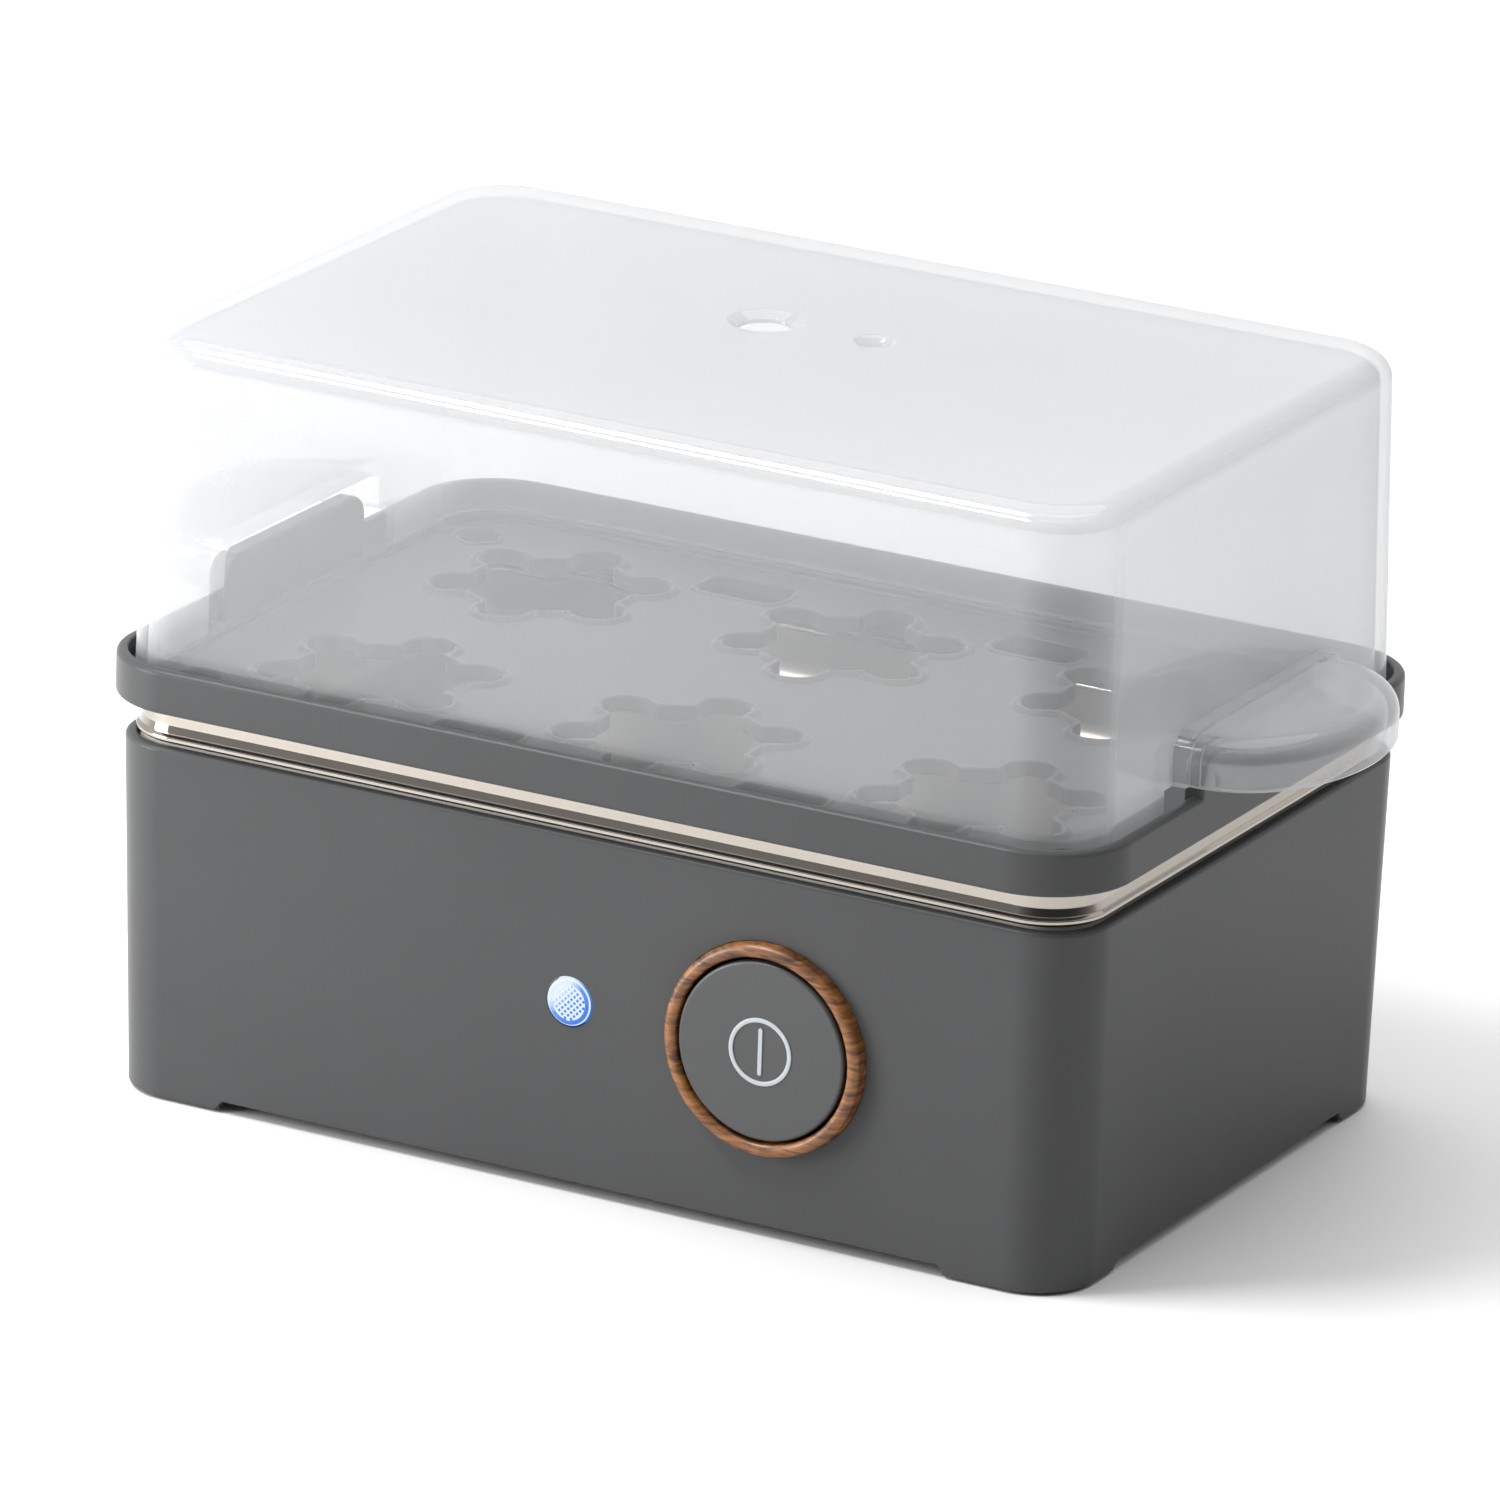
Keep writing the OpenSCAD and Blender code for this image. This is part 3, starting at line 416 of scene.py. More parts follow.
def lid_plastic():
    """Clear plastic with a milky haze that thickens where it is seen along its wall."""
    s = Shader("lid_plastic")
    facing = s.add("ShaderNodeLayerWeight", {"Blend": 0.5}).outputs["Facing"]
    cosine = s.math("MAXIMUM", s.math("SUBTRACT", 1.0, facing), 0.12)
    cloud = s.between(s.noise(14, detail=2), 0.92, 1.08)
    path = s.math("MULTIPLY", s.math("DIVIDE", -HAZE, cosine), cloud)
    haze = s.math("SUBTRACT", 1.0, s.math("EXPONENT", path))
    skin = {"Height": s.noise(420, detail=3), "Strength": 0.15, "Distance": 0.004 * MM}
    bump = s.add("ShaderNodeBump", skin).outputs["Normal"]
    tint = s.ramp(
        facing,
        (0.0, (0.975, 0.98, 0.98)),
        (0.70, (0.925, 0.93, 0.935)),
        (0.97, (0.46, 0.54, 0.60)),
    )
    milk_colour = (0.72, 0.73, 0.745, 1)
    clear = s.add("ShaderNodeBsdfTransparent", {"Color": tint})
    front = s.add("ShaderNodeBsdfDiffuse", {"Color": milk_colour, "Normal": bump})
    through = s.add("ShaderNodeBsdfTranslucent", {"Color": milk_colour})
    milk = s.add("ShaderNodeMixShader", {0: 0.5, 1: front.outputs[0], 2: through.outputs[0]})
    body = s.add("ShaderNodeMixShader", {0: haze, 1: clear.outputs[0], 2: milk.outputs[0]})
    gloss = s.add("ShaderNodeBsdfGlossy", {"Color": (1, 1, 1, 1), "Roughness": 0.07, "Normal": bump})
    mirror_ahead, mirror_grazing = 0.045, 0.6
    grazing = s.math("MULTIPLY", s.math("POWER", facing, 5.0), mirror_grazing)
    mirror = s.math("ADD", grazing, mirror_ahead)
    whole = s.add("ShaderNodeMixShader", {0: mirror, 1: body.outputs[0], 2: gloss.outputs[0]})
    s.tree.links.new(whole.outputs[0], s.output.inputs["Surface"])
    s.tree.nodes.remove(s.main)
    return s.material


def lamp_lens():
    """A lit lens: pale lines between the pyramids, on a blue glow that fades to a painted white highlight
    at the upper left, the side the lights shine from.
    """
    s = Shader("lamp_lens")
    split = s.add("ShaderNodeSeparateXYZ", {"Vector": s.place()}).outputs
    across = s.math("SUBTRACT", split["Z"], split["X"])
    middle = LAMP.z - LAMP.x
    # painted highlight: the lamp's blue glow turns white towards the upper left, where the lights would
    # glint on the lens
    painted_highlight_fade = s.rescale(across, (middle - 4.5) * MM, (middle + 4) * MM)
    ground = s.ramp(
        painted_highlight_fade,
        (0.0, (0.035, 0.17, 0.62)),
        (0.55, (0.09, 0.28, 0.78)),
        (0.9, (0.80, 0.88, 1.0)),
    )
    face = LENS_LOW.y + LENS_PYRAMID
    rib = s.rescale(split["Y"], (face - 0.07) * MM, (face - 0.01) * MM)
    gap = s.math("ABSOLUTE", s.math("SUBTRACT", split["Y"], face * MM))
    near = s.math("LESS_THAN", gap, 0.2 * MM)
    pale = s.math("MULTIPLY", rib, near)
    # emission: the lamp's blue glow and pale lines, with the painted highlight mixed in
    glow_and_painted_highlight = s.add("ShaderNodeMixRGB", {"Fac": pale, "Color1": ground, "Color2": (0.86, 0.92, 1.0, 1)})
    s.set(base_color=(0.02, 0.05, 0.16, 1), roughness=0.2, emission_strength=0.9, specular_ior_level=0.2)
    s.set(emission_color=glow_and_painted_highlight.outputs["Color"])
    return s.material


HAZE = 0.2  # optical depth of the milk at one face of the lid, seen square on
LENS_RADIUS = 4.05
LENS_PYRAMID = 0.28  # height of the small pyramids on the lens
PAN_SHELF = PAN_HIGH.z - 6.3  # height at which the basin widens into the steel band

SHOWN = (charcoal_plastic, button_plastic, pan_steel, walnut_ring, lid_plastic, lamp_lens)
PLASTICS = {
    "cover_plastic": ((0.085, 0.086, 0.088), dict(rough=(0.45, 0.6), grain=0.5)),
    "pad_rubber": ((0.022, 0.022, 0.023), dict(rough=(0.6, 0.8), grain=0.6)),
    "gasket_silicone": ((0.60, 0.57, 0.52), dict(rough=(0.4, 0.55))),
    "ceramic": ((0.82, 0.79, 0.71), dict(rough=(0.25, 0.4), grain=0.8)),
    "icon_print": ((0.42, 0.45, 0.47), dict(rough=(0.4, 0.5), grain=0.15)),
    "switch_plastic": ((0.02, 0.021, 0.022), {}),
    "plunger_plastic": ((0.78, 0.76, 0.70), {}),
    "led_clear": ((0.80, 0.86, 0.95), dict(rough=(0.08, 0.15))),
    "board_green": ((0.03, 0.16, 0.07), dict(rough=(0.3, 0.4))),
    "block_plastic": ((0.70, 0.67, 0.60), {}),
    "wire_brown": ((0.13, 0.06, 0.03), dict(rough=(0.35, 0.5))),
    "wire_white": ((0.76, 0.73, 0.66), dict(rough=(0.35, 0.5))),
    "wire_blue": ((0.03, 0.10, 0.33), dict(rough=(0.35, 0.5))),
    "wire_earth": ((0.20, 0.36, 0.04), dict(rough=(0.35, 0.5))),
    "wire_red": ((0.42, 0.03, 0.02), dict(rough=(0.35, 0.5))),
}
METALS = {
    "zinc_steel": ((0.62, 0.62, 0.60), dict(rough=(0.25, 0.4))),
    "spreader_aluminium": ((0.66, 0.67, 0.68), dict(along=(0.05, 1, 1))),
    "element_sheath": ((0.30, 0.28, 0.26), dict(rough=(0.4, 0.6), spread=0.2)),
    "brass": ((0.72, 0.55, 0.24), dict(rough=(0.2, 0.32))),
}
MATERIALS = {make.__name__: make() for make in SHOWN}
MATERIALS |= {slot: moulded(slot, colour, **more).material for slot, (colour, more) in PLASTICS.items()}
MATERIALS |= {slot: metal(slot, colour, **more).material for slot, (colour, more) in METALS.items()}


# ---------- Housing ----------

DRAFT_LENGTH, DRAFT_WIDTH = 1.7, 2.5
HOUSING_CORNER = 11
HOUSING_WALL = 2.5
HOUSING_FOOT = 2
LUG_LENGTH, LUG_WIDTH, LUG_SLOPE = 22, 18, 0.7
PAD_X, PAD_Y, PAD_RADIUS, PAD_TOP = 79, 48, 4.5, 1.4
OTHER_CORNERS = ((-1, 1), (-1, -1), (1, -1))
SPRING_SEAT = -46.5  # front face of the bracket that the button's spring presses on
BOARD_SEAT = -50.4  # front face of the lamp's board
BEZEL_SEAT = BEZEL_LOW.y + 2.9  # where the wood ring rests in the front wall
GLAND_NECK, GLAND_FLANGE, GLAND_SEAT = 6, 8.5, 58.2


def housing_ring(inset, z):
    """Outline of the housing at a height, with its lower edge stepped down at the four feet."""
    top = HOUSING_HIGH.z
    share = min(max((z - HOUSING_FOOT) / (top - HOUSING_FOOT), 0), 1)
    length = 2 * HOUSING_HIGH.x - DRAFT_LENGTH * (1 - share)
    width = 2 * HOUSING_HIGH.y - DRAFT_WIDTH * (1 - share)
    foot_x = HOUSING_HIGH.x - DRAFT_LENGTH / 2 - LUG_LENGTH
    foot_y = HOUSING_HIGH.y - DRAFT_WIDTH / 2 - LUG_WIDTH
    stops_x = (foot_x - LUG_SLOPE, foot_x + LUG_SLOPE)
    stops_y = (foot_y - LUG_SLOPE, foot_y + LUG_SLOPE)
    points = rounded(length - 2 * inset, width - 2 * inset, HOUSING_CORNER - inset, stops_x, stops_y)
    drop = HOUSING_FOOT - HOUSING_LOW.z if z < HOUSING_FOOT + 1 else 0
    return [(x, y, z - (drop if abs(x) > foot_x and abs(y) > foot_y else 0)) for x, y in points]


def foot_block():
    """Underside of one foot, with the recess that holds its rubber pad."""
    inset = 0.5
    x = HOUSING_HIGH.x - DRAFT_LENGTH / 2 - inset
    y = HOUSING_HIGH.y - DRAFT_WIDTH / 2 - inset
    r = HOUSING_CORNER - inset
    x_inner, y_inner = x + inset - LUG_LENGTH, y + inset - LUG_WIDTH
    outline = [(x_inner, y_inner), (x, y_inner)]
    outline += arc((x - r, y - r), r, 0, 90, CORNER_STEPS) + [(x_inner, y)]
    low, overlap = HOUSING_LOW.z, 0.3
    profile = [(-0.3, low), (-0.08, low + 0.08), (0, low + 0.3), (0, HOUSING_FOOT + overlap)]
    hole = prism("hole", circle(PAD_X, PAD_Y, PAD_RADIUS + 0.05, 48), [(0, -1), (0, PAD_TOP)])
    return boolean(prism("foot", outline, profile), hole, "DIFFERENCE")


def column_z(x, y, radius, z0, z1):
    return prism("column", circle(x, y, radius, 32), [(0, z0), (0, z1)])


def post(x, z, radius, bore, back, depth):
    """Column behind the front wall, with a blind hole for a screw in its end."""
    front = HOUSING_LOW.y + 1.65  # inside the wall, which leans with its draft
    end = back - depth
    profile = [(AXIS, front), (radius, front), (radius, back), (bore, back), (bore, end), (AXIS, end)]
    return lathe("post", Vector((x, 0, z)), profile, steps=32)


def housing_inside():
    """Columns, ribs and shelves that the inner pieces are screwed to."""
    column_x, column_y, column_low, column_high = 79, 27, 5.2, 25.2
    column = column_z(column_x, column_y, 4, column_low, column_high)
    boolean(column, column_z(column_x, column_y, 1.45, column_low - 1, column_high - 5), "DIFFERENCE")
    wall = HOUSING_HIGH.x - 1.8
    rib = box(column_x + 3.5, wall, column_y - 1, column_y + 1, column_low, column_high)
    stud_x, stud_y, half, shelf_low, shelf_high = 72, 34, 6, 40, 43
    shelf = box(stud_x - half, wall + 0.2, stud_y - half, stud_y + half, shelf_low, shelf_high)
    boolean(shelf, column_z(stud_x, stud_y, 2.2, shelf_low - 1, shelf_high + 1), "DIFFERENCE")
    shells = [column, rib, shelf]
    for x, y in OTHER_CORNERS:
        shells += [mirrored(piece, x, y) for piece in (column, rib, shelf)]
    bracket_screw, board_screw, board_screw_z = 24, 4.5, 21
    for side in (-1, 1):
        shells.append(post(BUTTON.x + side * bracket_screw, BUTTON.z, 3.5, 1.45, SPRING_SEAT, 8))
        shells.append(post(LAMP.x + side * board_screw, board_screw_z, 2.5, 1.05, BOARD_SEAT, 4.6))
    return shells


def housing():
    top = HOUSING_HIGH.z
    wall = HOUSING_WALL
    profile = filleted([
        (wall, HOUSING_FOOT + 6, 0), (wall, HOUSING_FOOT, 0.3), (0, HOUSING_FOOT, 0.5),
        (0, HOUSING_FOOT + 3, 0), (0, top, 1.0), (1.9, top, 0.35), (1.9, top - 1.2, 0.2),
        (5.4, top - 1.2, 0.3), (5.4, top - 4, 0.3), (wall, top - 4, 1.2), (wall, HOUSING_FOOT + 7, 0),
    ])
    shell = loft("housing_shell", [housing_ring(i, z) for i, z in profile], closed=True)
    ring = (BEZEL_HIGH.x - BEZEL_LOW.x) / 2
    inside, outside = 50, 65  # a cutter runs between these distances from the middle
    holes = (
        (BUTTON, ring - 1.4, BEZEL_SEAT - 5, -inside),
        (BUTTON, ring + 0.1, BEZEL_SEAT - 5, BEZEL_SEAT),
        (LAMP, LENS_RADIUS + 0.3, -outside, -inside),
        (GLAND, GLAND_NECK + 0.1, inside, outside),
        (GLAND, GLAND_FLANGE + 0.1, GLAND_SEAT, outside),
    )
    for at, radius, y0, y1 in holes:
        cutter = lathe("column", Vector((at.x, 0, at.z)), [(radius, y0), (radius, y1)], steps=32)
        boolean(shell, cutter, "DIFFERENCE")
    foot = foot_block()
    feet = [mirrored(foot, x, y) for x, y in OTHER_CORNERS]
    join(shell, [foot, *feet, *housing_inside()])
    place(shell, "base", "charcoal_plastic", "housing")


# ---------- Pan ----------

PAN_CORNER = 10.2
PAN_SHEET = 0.8
PAN_BEAD = 0.55  # how far the bead stands out of the steel band
BAND_INSET = 0.3
BASIN_INSET = 4.3
FLAT_INSET = 22  # the basin's bottom is flat from here to its middle


def heating_pan():
    length, width = 2 * (PAN_HIGH.x - PAN_BEAD), 2 * (PAN_HIGH.y - PAN_BEAD)
    bottom, rim, shelf = PAN_LOW.z, PAN_HIGH.z, PAN_SHELF
    inner_wall = PAN_SHEET + 0.2
    inner_basin = BASIN_INSET + PAN_SHEET
    outside = [
        (FLAT_INSET, bottom, 0), (BASIN_INSET, bottom, 4.5), (BASIN_INSET, shelf, 0.8),
        (0.25, shelf, 0.25), (0.25, shelf + 0.3, 0.1),
    ]
    bead_and_flare = [
        (-PAN_BEAD, shelf + 0.3, 0.5), (-PAN_BEAD, shelf + 1.15, 0.4),
        (-0.05, shelf + 1.7, 0.6), (BAND_INSET, shelf + 3.1, 1.5), (BAND_INSET, rim, 0.3),
    ]
    inside = [
        (inner_wall, rim, 0.3), (inner_wall, shelf + PAN_SHEET, 1.0), (inner_basin, shelf + PAN_SHEET, 1.2),
        (inner_basin, bottom + PAN_SHEET, 3.7), (FLAT_INSET, bottom + PAN_SHEET, 0),
    ]
    profile = filleted(outside + bead_and_flare + inside)
    rings = [level(rounded(length - 2 * i, width - 2 * i, PAN_CORNER - i), z) for i, z in profile]
    place(loft("pan_body", rings), "base", "pan_steel", "heating_pan")


# ---------- Egg tray ----------

TRAY_CORNER = 15.2
RING_WALL = 2
LEDGE_WIDTH = 3.2
SEAT_PITCH = 56
SEAT_RADIUS, LOBE_RADIUS, LOBE_AT = 14, 4.5, 16
SLOT_X, SLOT_Y, SLOT_LENGTH, SLOT_WIDTH = 28, 45, 15.5, 9
HOLE_X, HOLE_Y, HOLE_RADIUS = 80, 45, 3.5
SEAT_RIM, SLOT_RIM = 0.7, 0.25  # heights of the rims round the holes
SKIRT_INSET, SKIRT_WALL = 5.45, 1.5
TAB_HALF, TAB_THICKNESS, TAB_CORNER = 22.5, 3.5, 4
RING_HEIGHT = 7.5
RING_BOTTOM = PAN_HIGH.z
DECK = RING_BOTTOM + 1.5
DECK_UNDER = RING_BOTTOM - 0.5
LEDGE = RING_BOTTOM + 2.9


def seat_outline():
    """A round hole with six lobes, with soft corners between them."""
    cosine = (LOBE_AT**2 + SEAT_RADIUS**2 - LOBE_RADIUS**2) / (2 * LOBE_AT * SEAT_RADIUS)
    meet = math.degrees(math.acos(cosine))
    x, y = SEAT_RADIUS * cosine - LOBE_AT, SEAT_RADIUS * math.sin(math.radians(meet))
    swing = math.degrees(math.atan2(y, x))
    points = []
    for k in range(6):
        turn = 30 + 60 * k
        middle = (LOBE_AT * math.cos(math.radians(turn)), LOBE_AT * math.sin(math.radians(turn)))
        points += arc(middle, LOBE_RADIUS, turn - swing, turn + swing, 20)[:-1]
        points += arc((0, 0), SEAT_RADIUS, turn + meet, turn + 60 - meet, 8)[:-1]
    for _ in range(3):
        around = zip([points[-1]] + points[:-1], points, points[1:] + [points[0]])
        points = [tuple((Vector(a) + 2 * Vector(p) + Vector(b)) / 4) for a, p, b in around]
    return points


def moved(points, x, y):
    return [(px + x, py + y) for px, py in points]


def rimmed_hole(body, outline, height):
    """Cuts a hole through the tray's deck and gives it a rounded rim of some height."""
    boolean(body, prism("hole", grown(outline, 0.3), [(0, DECK_UNDER - 3), (0, DECK + 3)]), "DIFFERENCE")
    top = DECK + height
    profile = filleted([
        (0.5, DECK_UNDER - 0.1, 0), (0.05, DECK_UNDER - 0.1, 0.2), (0, top, 0.35),
        (0.75, top, 0.35), (1.9, DECK - 0.25, 0), (0.6, DECK - 0.4, 0),
    ], steps=4)
    return prism("rim", outline, profile, closed=True)


def tray_tab():
    """Upright tab in the middle of the +X side."""
    top = TRAY_HIGH.z
    outline = [(-TAB_HALF, RING_BOTTOM + 2), (TAB_HALF, RING_BOTTOM + 2)]
    outline += arc((TAB_HALF - TAB_CORNER, top - TAB_CORNER), TAB_CORNER, 0, 90, 8)
    outline += arc((TAB_CORNER - TAB_HALF, top - TAB_CORNER), TAB_CORNER, 90, 180, 8)
    x = TRAY_HIGH.x
    profile = filleted([(-6, x, 0), (0, x, 0.6), (0, x - TAB_THICKNESS, 0.6), (-6, x - TAB_THICKNESS, 0)])
    rings = [[(at, y, z) for y, z in grown(outline, g)] for g, at in profile]
    return loft("tab", rings)


def egg_tray():
    length, width = 2 * TRAY_HIGH.x, 2 * TRAY_HIGH.y
    skirt, skirt_back = SKIRT_INSET, SKIRT_INSET + SKIRT_WALL
    top = RING_BOTTOM + RING_HEIGHT
    deck_inset = RING_WALL + LEDGE_WIDTH
    profile = filleted([
        (9, DECK, 0), (deck_inset, DECK, 0.5), (deck_inset, LEDGE, 0.5), (RING_WALL, LEDGE, 0.6),
        (RING_WALL, top, 0.5), (0, top, 1.1), (0, RING_BOTTOM, 0.7), (skirt, RING_BOTTOM, 0.4),
        (skirt, TRAY_LOW.z, 0.5), (skirt_back, TRAY_LOW.z, 0.5), (skirt_back, DECK_UNDER, 1.0),
        (12, DECK_UNDER, 0),
    ])
    rings = [level(rounded(length - 2 * i, width - 2 * i, TRAY_CORNER - i), z) for i, z in profile]
    body = loft("tray_body", rings)
    rims = []
    for i in (-1, 0, 1):
        for j in (-0.5, 0.5):
            outline = moved(seat_outline(), i * SEAT_PITCH, j * SEAT_PITCH)
            rims.append(rimmed_hole(body, outline, SEAT_RIM))
    for x in (-1, 1):
        for y in (-1, 1):
            slot = moved(rounded(SLOT_LENGTH, SLOT_WIDTH, 2.5), x * SLOT_X, y * SLOT_Y)
            rims.append(rimmed_hole(body, slot, SLOT_RIM))
            hole = circle(x * HOLE_X, y * HOLE_Y, HOLE_RADIUS, 48)
            rims.append(rimmed_hole(body, hole, SLOT_RIM))
    tab = tray_tab()
    boolean(body, mirrored(tab, -1, 1), "UNION")
    boolean(body, tab, "UNION")
    join(body, rims)
    place(body, "tray", "charcoal_plastic", "egg_tray")


# ---------- Lid ----------

LID_LENGTH, LID_WIDTH = 178.9, 117.4
LID_TOP_LENGTH, LID_TOP_WIDTH = 177.2, 114.3
LID_CORNER = 12
LID_WALL, LID_ROOF = 1.7, 1.8
LID_ROUND = 4.2
HOOD_X = LID_LENGTH / 2 - 0.4  # where a handle meets the wall of the lid
HOOD_FLANGE = 3
HOOD_HALF = 26.6
HOOD_BOTTOM = LID_LOW.z + 7.3
HOOD_TOP = LID_LOW.z + 16
CUTOUT_HALF = 30
VENT_Y = 8.2
VENTS = ((-5.8, 4.5, 6.3), (14.4, 2.3, 3.45))  # place along X, bore radius and rim radius


def lid_ring(inset, z):
    """Outline of the lid at a height, drawn in by its draft and an inset."""
    share = min((z - LID_LOW.z) / (LID_HIGH.z - LID_ROUND - LID_LOW.z), 1)
    length = LID_LENGTH + (LID_TOP_LENGTH - LID_LENGTH) * share
    width = LID_WIDTH + (LID_TOP_WIDTH - LID_WIDTH) * share
    return level(rounded(length - 2 * inset, width - 2 * inset, LID_CORNER - 0.6 * inset), z)


def quarter_round(inset, top, radius):
    """(inset, z) points from an upright wall up and over to a flat top."""
    angles = [math.radians(7.5 * k) for k in range(13)]
    return [(inset + radius * (1 - math.cos(a)), top - radius * (1 - math.sin(a))) for a in angles]


def moon(half, reach):
    """Half-moon outline of a handle, with its straight side against the lid."""
    x0 = HOOD_X + HOOD_FLANGE - 0.5
    angles = [math.radians(-90 + 180 * i / 48) for i in range(49)]
    return [(x0 + (reach - x0) * abs(math.cos(a)) ** 0.88, half * math.sin(a)) for a in angles]


def hood(inset, bottom, top, round_over):
    """A handle's dome: half-moon rings that close in to a crowned top."""
    reach = LID_HIGH.x - inset
    half = HOOD_HALF - inset
    rings = [level(moon(half - 0.35, reach - 0.35), bottom), level(moon(half, reach), bottom + 0.4)]
    for k in range(13):
        a = math.radians(90 * k / 12)
        draw = round_over * (1 - math.cos(a))
        rings.append(level(moon(half - draw, reach - draw), top - round_over * (1 - math.sin(a))))
    rings.append(level(moon(half - round_over - 5, reach - round_over - 5), top + 0.25))
    return loft("hood", rings)


def arch(name, half, top, corner, x0, x1, edge):
    """A plate across the short side with round top corners and a rounded outer edge."""
    outline = [(-half, HOOD_BOTTOM), (half, HOOD_BOTTOM)]
    outline += arc((half - corner, top - corner), corner, 0, 90, 10)
    outline += arc((corner - half, top - corner), corner, 90, 180, 10)
    profile = filleted([(-2 * edge - 0.3, x1, 0), (0, x1, edge), (0, x0, 0)])
    return loft(name, [[(at, y, z) for y, z in grown(outline, g)] for g, at in profile])


def box(x0, x1, y0, y1, z0, z1):
    outline = [(x0, y0), (x1, y0), (x1, y1), (x0, y1)]
    return prism("box", outline, [(0, z0), (0, z1)])


def vent(x, bore, rim):
    """Cutter for a steam hole: a cone that flares softly into the lid's top."""
    top = LID_HIGH.z
    profile = [(bore, top - 4), (bore, top - 1.35), (bore + 0.1, top - 1.15), (rim - 0.3, top - 0.2)]
    profile += [(rim, top - 0.06), (rim + 0.35, top + 0.01), (rim + 0.35, top + 1)]
    rings = [level(circle(x, VENT_Y, r, 64), z) for r, z in profile]
    return loft("vent", rings)


def lid():
    low, high = LID_LOW.z, LID_HIGH.z
    outer_round = quarter_round(0, high, LID_ROUND)[::-1]
    inner_round = quarter_round(LID_WALL, high - LID_ROOF, LID_ROUND - 1.3)
    foot = filleted([(0, low + 3, 0), (0, low, 0.6), (LID_WALL, low, 0.6), (LID_WALL, low + 3, 0)])
    shell = loft("lid_shell", [lid_ring(i, z) for i, z in outer_round + foot + inner_round])
    for x, bore, rim in VENTS:
        boolean(shell, vent(x, bore, rim), "DIFFERENCE")
    flange = arch("flange", HOOD_HALF + 0.7, HOOD_TOP, 4, HOOD_X - 1, HOOD_X + HOOD_FLANGE, 0.5)
    dome = hood(0, HOOD_BOTTOM, HOOD_TOP - 0.55, 4.2)
    for x in (1, -1):
        boolean(shell, mirrored(flange, x, 1), "UNION")
        boolean(shell, mirrored(dome, x, 1), "UNION")
    bpy.data.objects.remove(flange)
    bpy.data.objects.remove(dome)
    opening = arch("opening", HOOD_HALF - 1.3, HOOD_TOP - 1.8, 3, HOOD_X - 4, HOOD_X + HOOD_FLANGE + 1, 0.1)
    hollow = hood(1.9, HOOD_BOTTOM - 2, HOOD_TOP - 2.4, 2.4)
    way = box(HOOD_X - 6, HOOD_X + 4, -CUTOUT_HALF, CUTOUT_HALF, low - 1, HOOD_BOTTOM)
    for x in (1, -1):
        for cutter in (opening, hollow, way):
            boolean(shell, mirrored(cutter, x, 1), "DIFFERENCE")
    for cutter in (opening, hollow, way):
        bpy.data.objects.remove(cutter)
    place(shell, "lid", "lid_plastic", "lid")


# ---------- Button and lamp ----------


def button_bezel():
    outer = (BEZEL_HIGH.x - BEZEL_LOW.x) / 2
    bore = 15.6
    front, seat, back = BEZEL_LOW.y, BEZEL_SEAT, BEZEL_HIGH.y
    profile = filleted([
        (bore, back, 0), (bore, front, 0.9), (outer - 0.25, front, 1.5), (outer, seat, 0.3),
        (outer - 1.5, seat, 0.2), (outer - 1.5, back, 0.2),
    ])
    place(lathe("wood_ring", BUTTON, profile, closed=True), "base", "walnut_ring", "button_bezel")


def power_button():
    radius = (DISC_HIGH.x - DISC_LOW.x) / 2 - 0.05
    front, back = DISC_LOW.y, DISC_HIGH.y
    skirt, stem, inside, roof = back - 3, 4, radius - 1.6, front + 3
    profile = filleted([
        (AXIS, front + 0.05, 0), (6, front + 0.03, 0), (radius, front, 0.55), (radius, skirt, 0.3),
        (inside, skirt, 0.3), (inside, roof, 0.6), (stem, roof, 0.6), (stem, back, 0.4), (AXIS, back, 0),
    ])
    place(lathe("button_disc", BUTTON, profile), "button", "button_plastic", "power_button")


def button_spring():
    """Coil spring with closed ends between the button and its bracket."""
    low, high, middle = extent("button_spring")
    wire, turns, steps, sides = 0.6, 6.5, 28, 10
    end_turns = 0.8  # how much of a turn at each end lies nearly flat
    radius = (high.x - low.x) / 2 - wire
    start, end = low.y + wire, high.y - wire
    count = int(turns * steps)
    along = Vector((0, 1, 0))
    rings = []
    for i in range(count + 1):
        share = min(max((i - end_turns * steps) / (count - 2 * end_turns * steps), 0), 1)
        rise = (i - share * count) / steps * 0.6 * wire
        y = min(max(start + (end - start) * share + rise, start), end)
        turn = 2 * math.pi * i / steps
        out = Vector((math.cos(turn), 0, math.sin(turn)))
        point = Vector((middle.x, y, middle.z)) + out * radius
        angles = [2 * math.pi * k / sides for k in range(sides)]
        rings.append([point + (out * math.cos(a) + along * math.sin(a)) * wire for a in angles])
    spring = loft("spring", rings)
    place(spring, "base", "zinc_steel", "button_spring")
    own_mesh(spring)


def power_icon():
    """The ring and bar of the power sign, let into the button and standing a little proud of it."""
    low, high, middle = extent("power_icon")
    outer = (high.x - low.x) / 2
    stroke = 0.75
    profile = filleted([
        (outer - stroke, high.y + 0.1, 0), (outer - stroke, low.y, 0.08), (outer, low.y, 0.08),
        (outer, high.y + 0.1, 0),
    ], steps=2)
    ring = lathe("icon", middle, profile, closed=True)
    half, tip = stroke / 2, 4 - stroke / 2
    outline = arc((middle.x, middle.z + tip), half, 0, 180, 10)
    outline += arc((middle.x, middle.z - tip), half, 180, 360, 10)
    steps = [(0, high.y + 0.1), (0, low.y + 0.06), (-0.06, low.y)]
    bar = loft("bar", [[(x, y, z) for x, z in grown(outline, g)] for g, y in steps])
    place(join(ring, [bar]), "button", "icon_print", "power_icon")


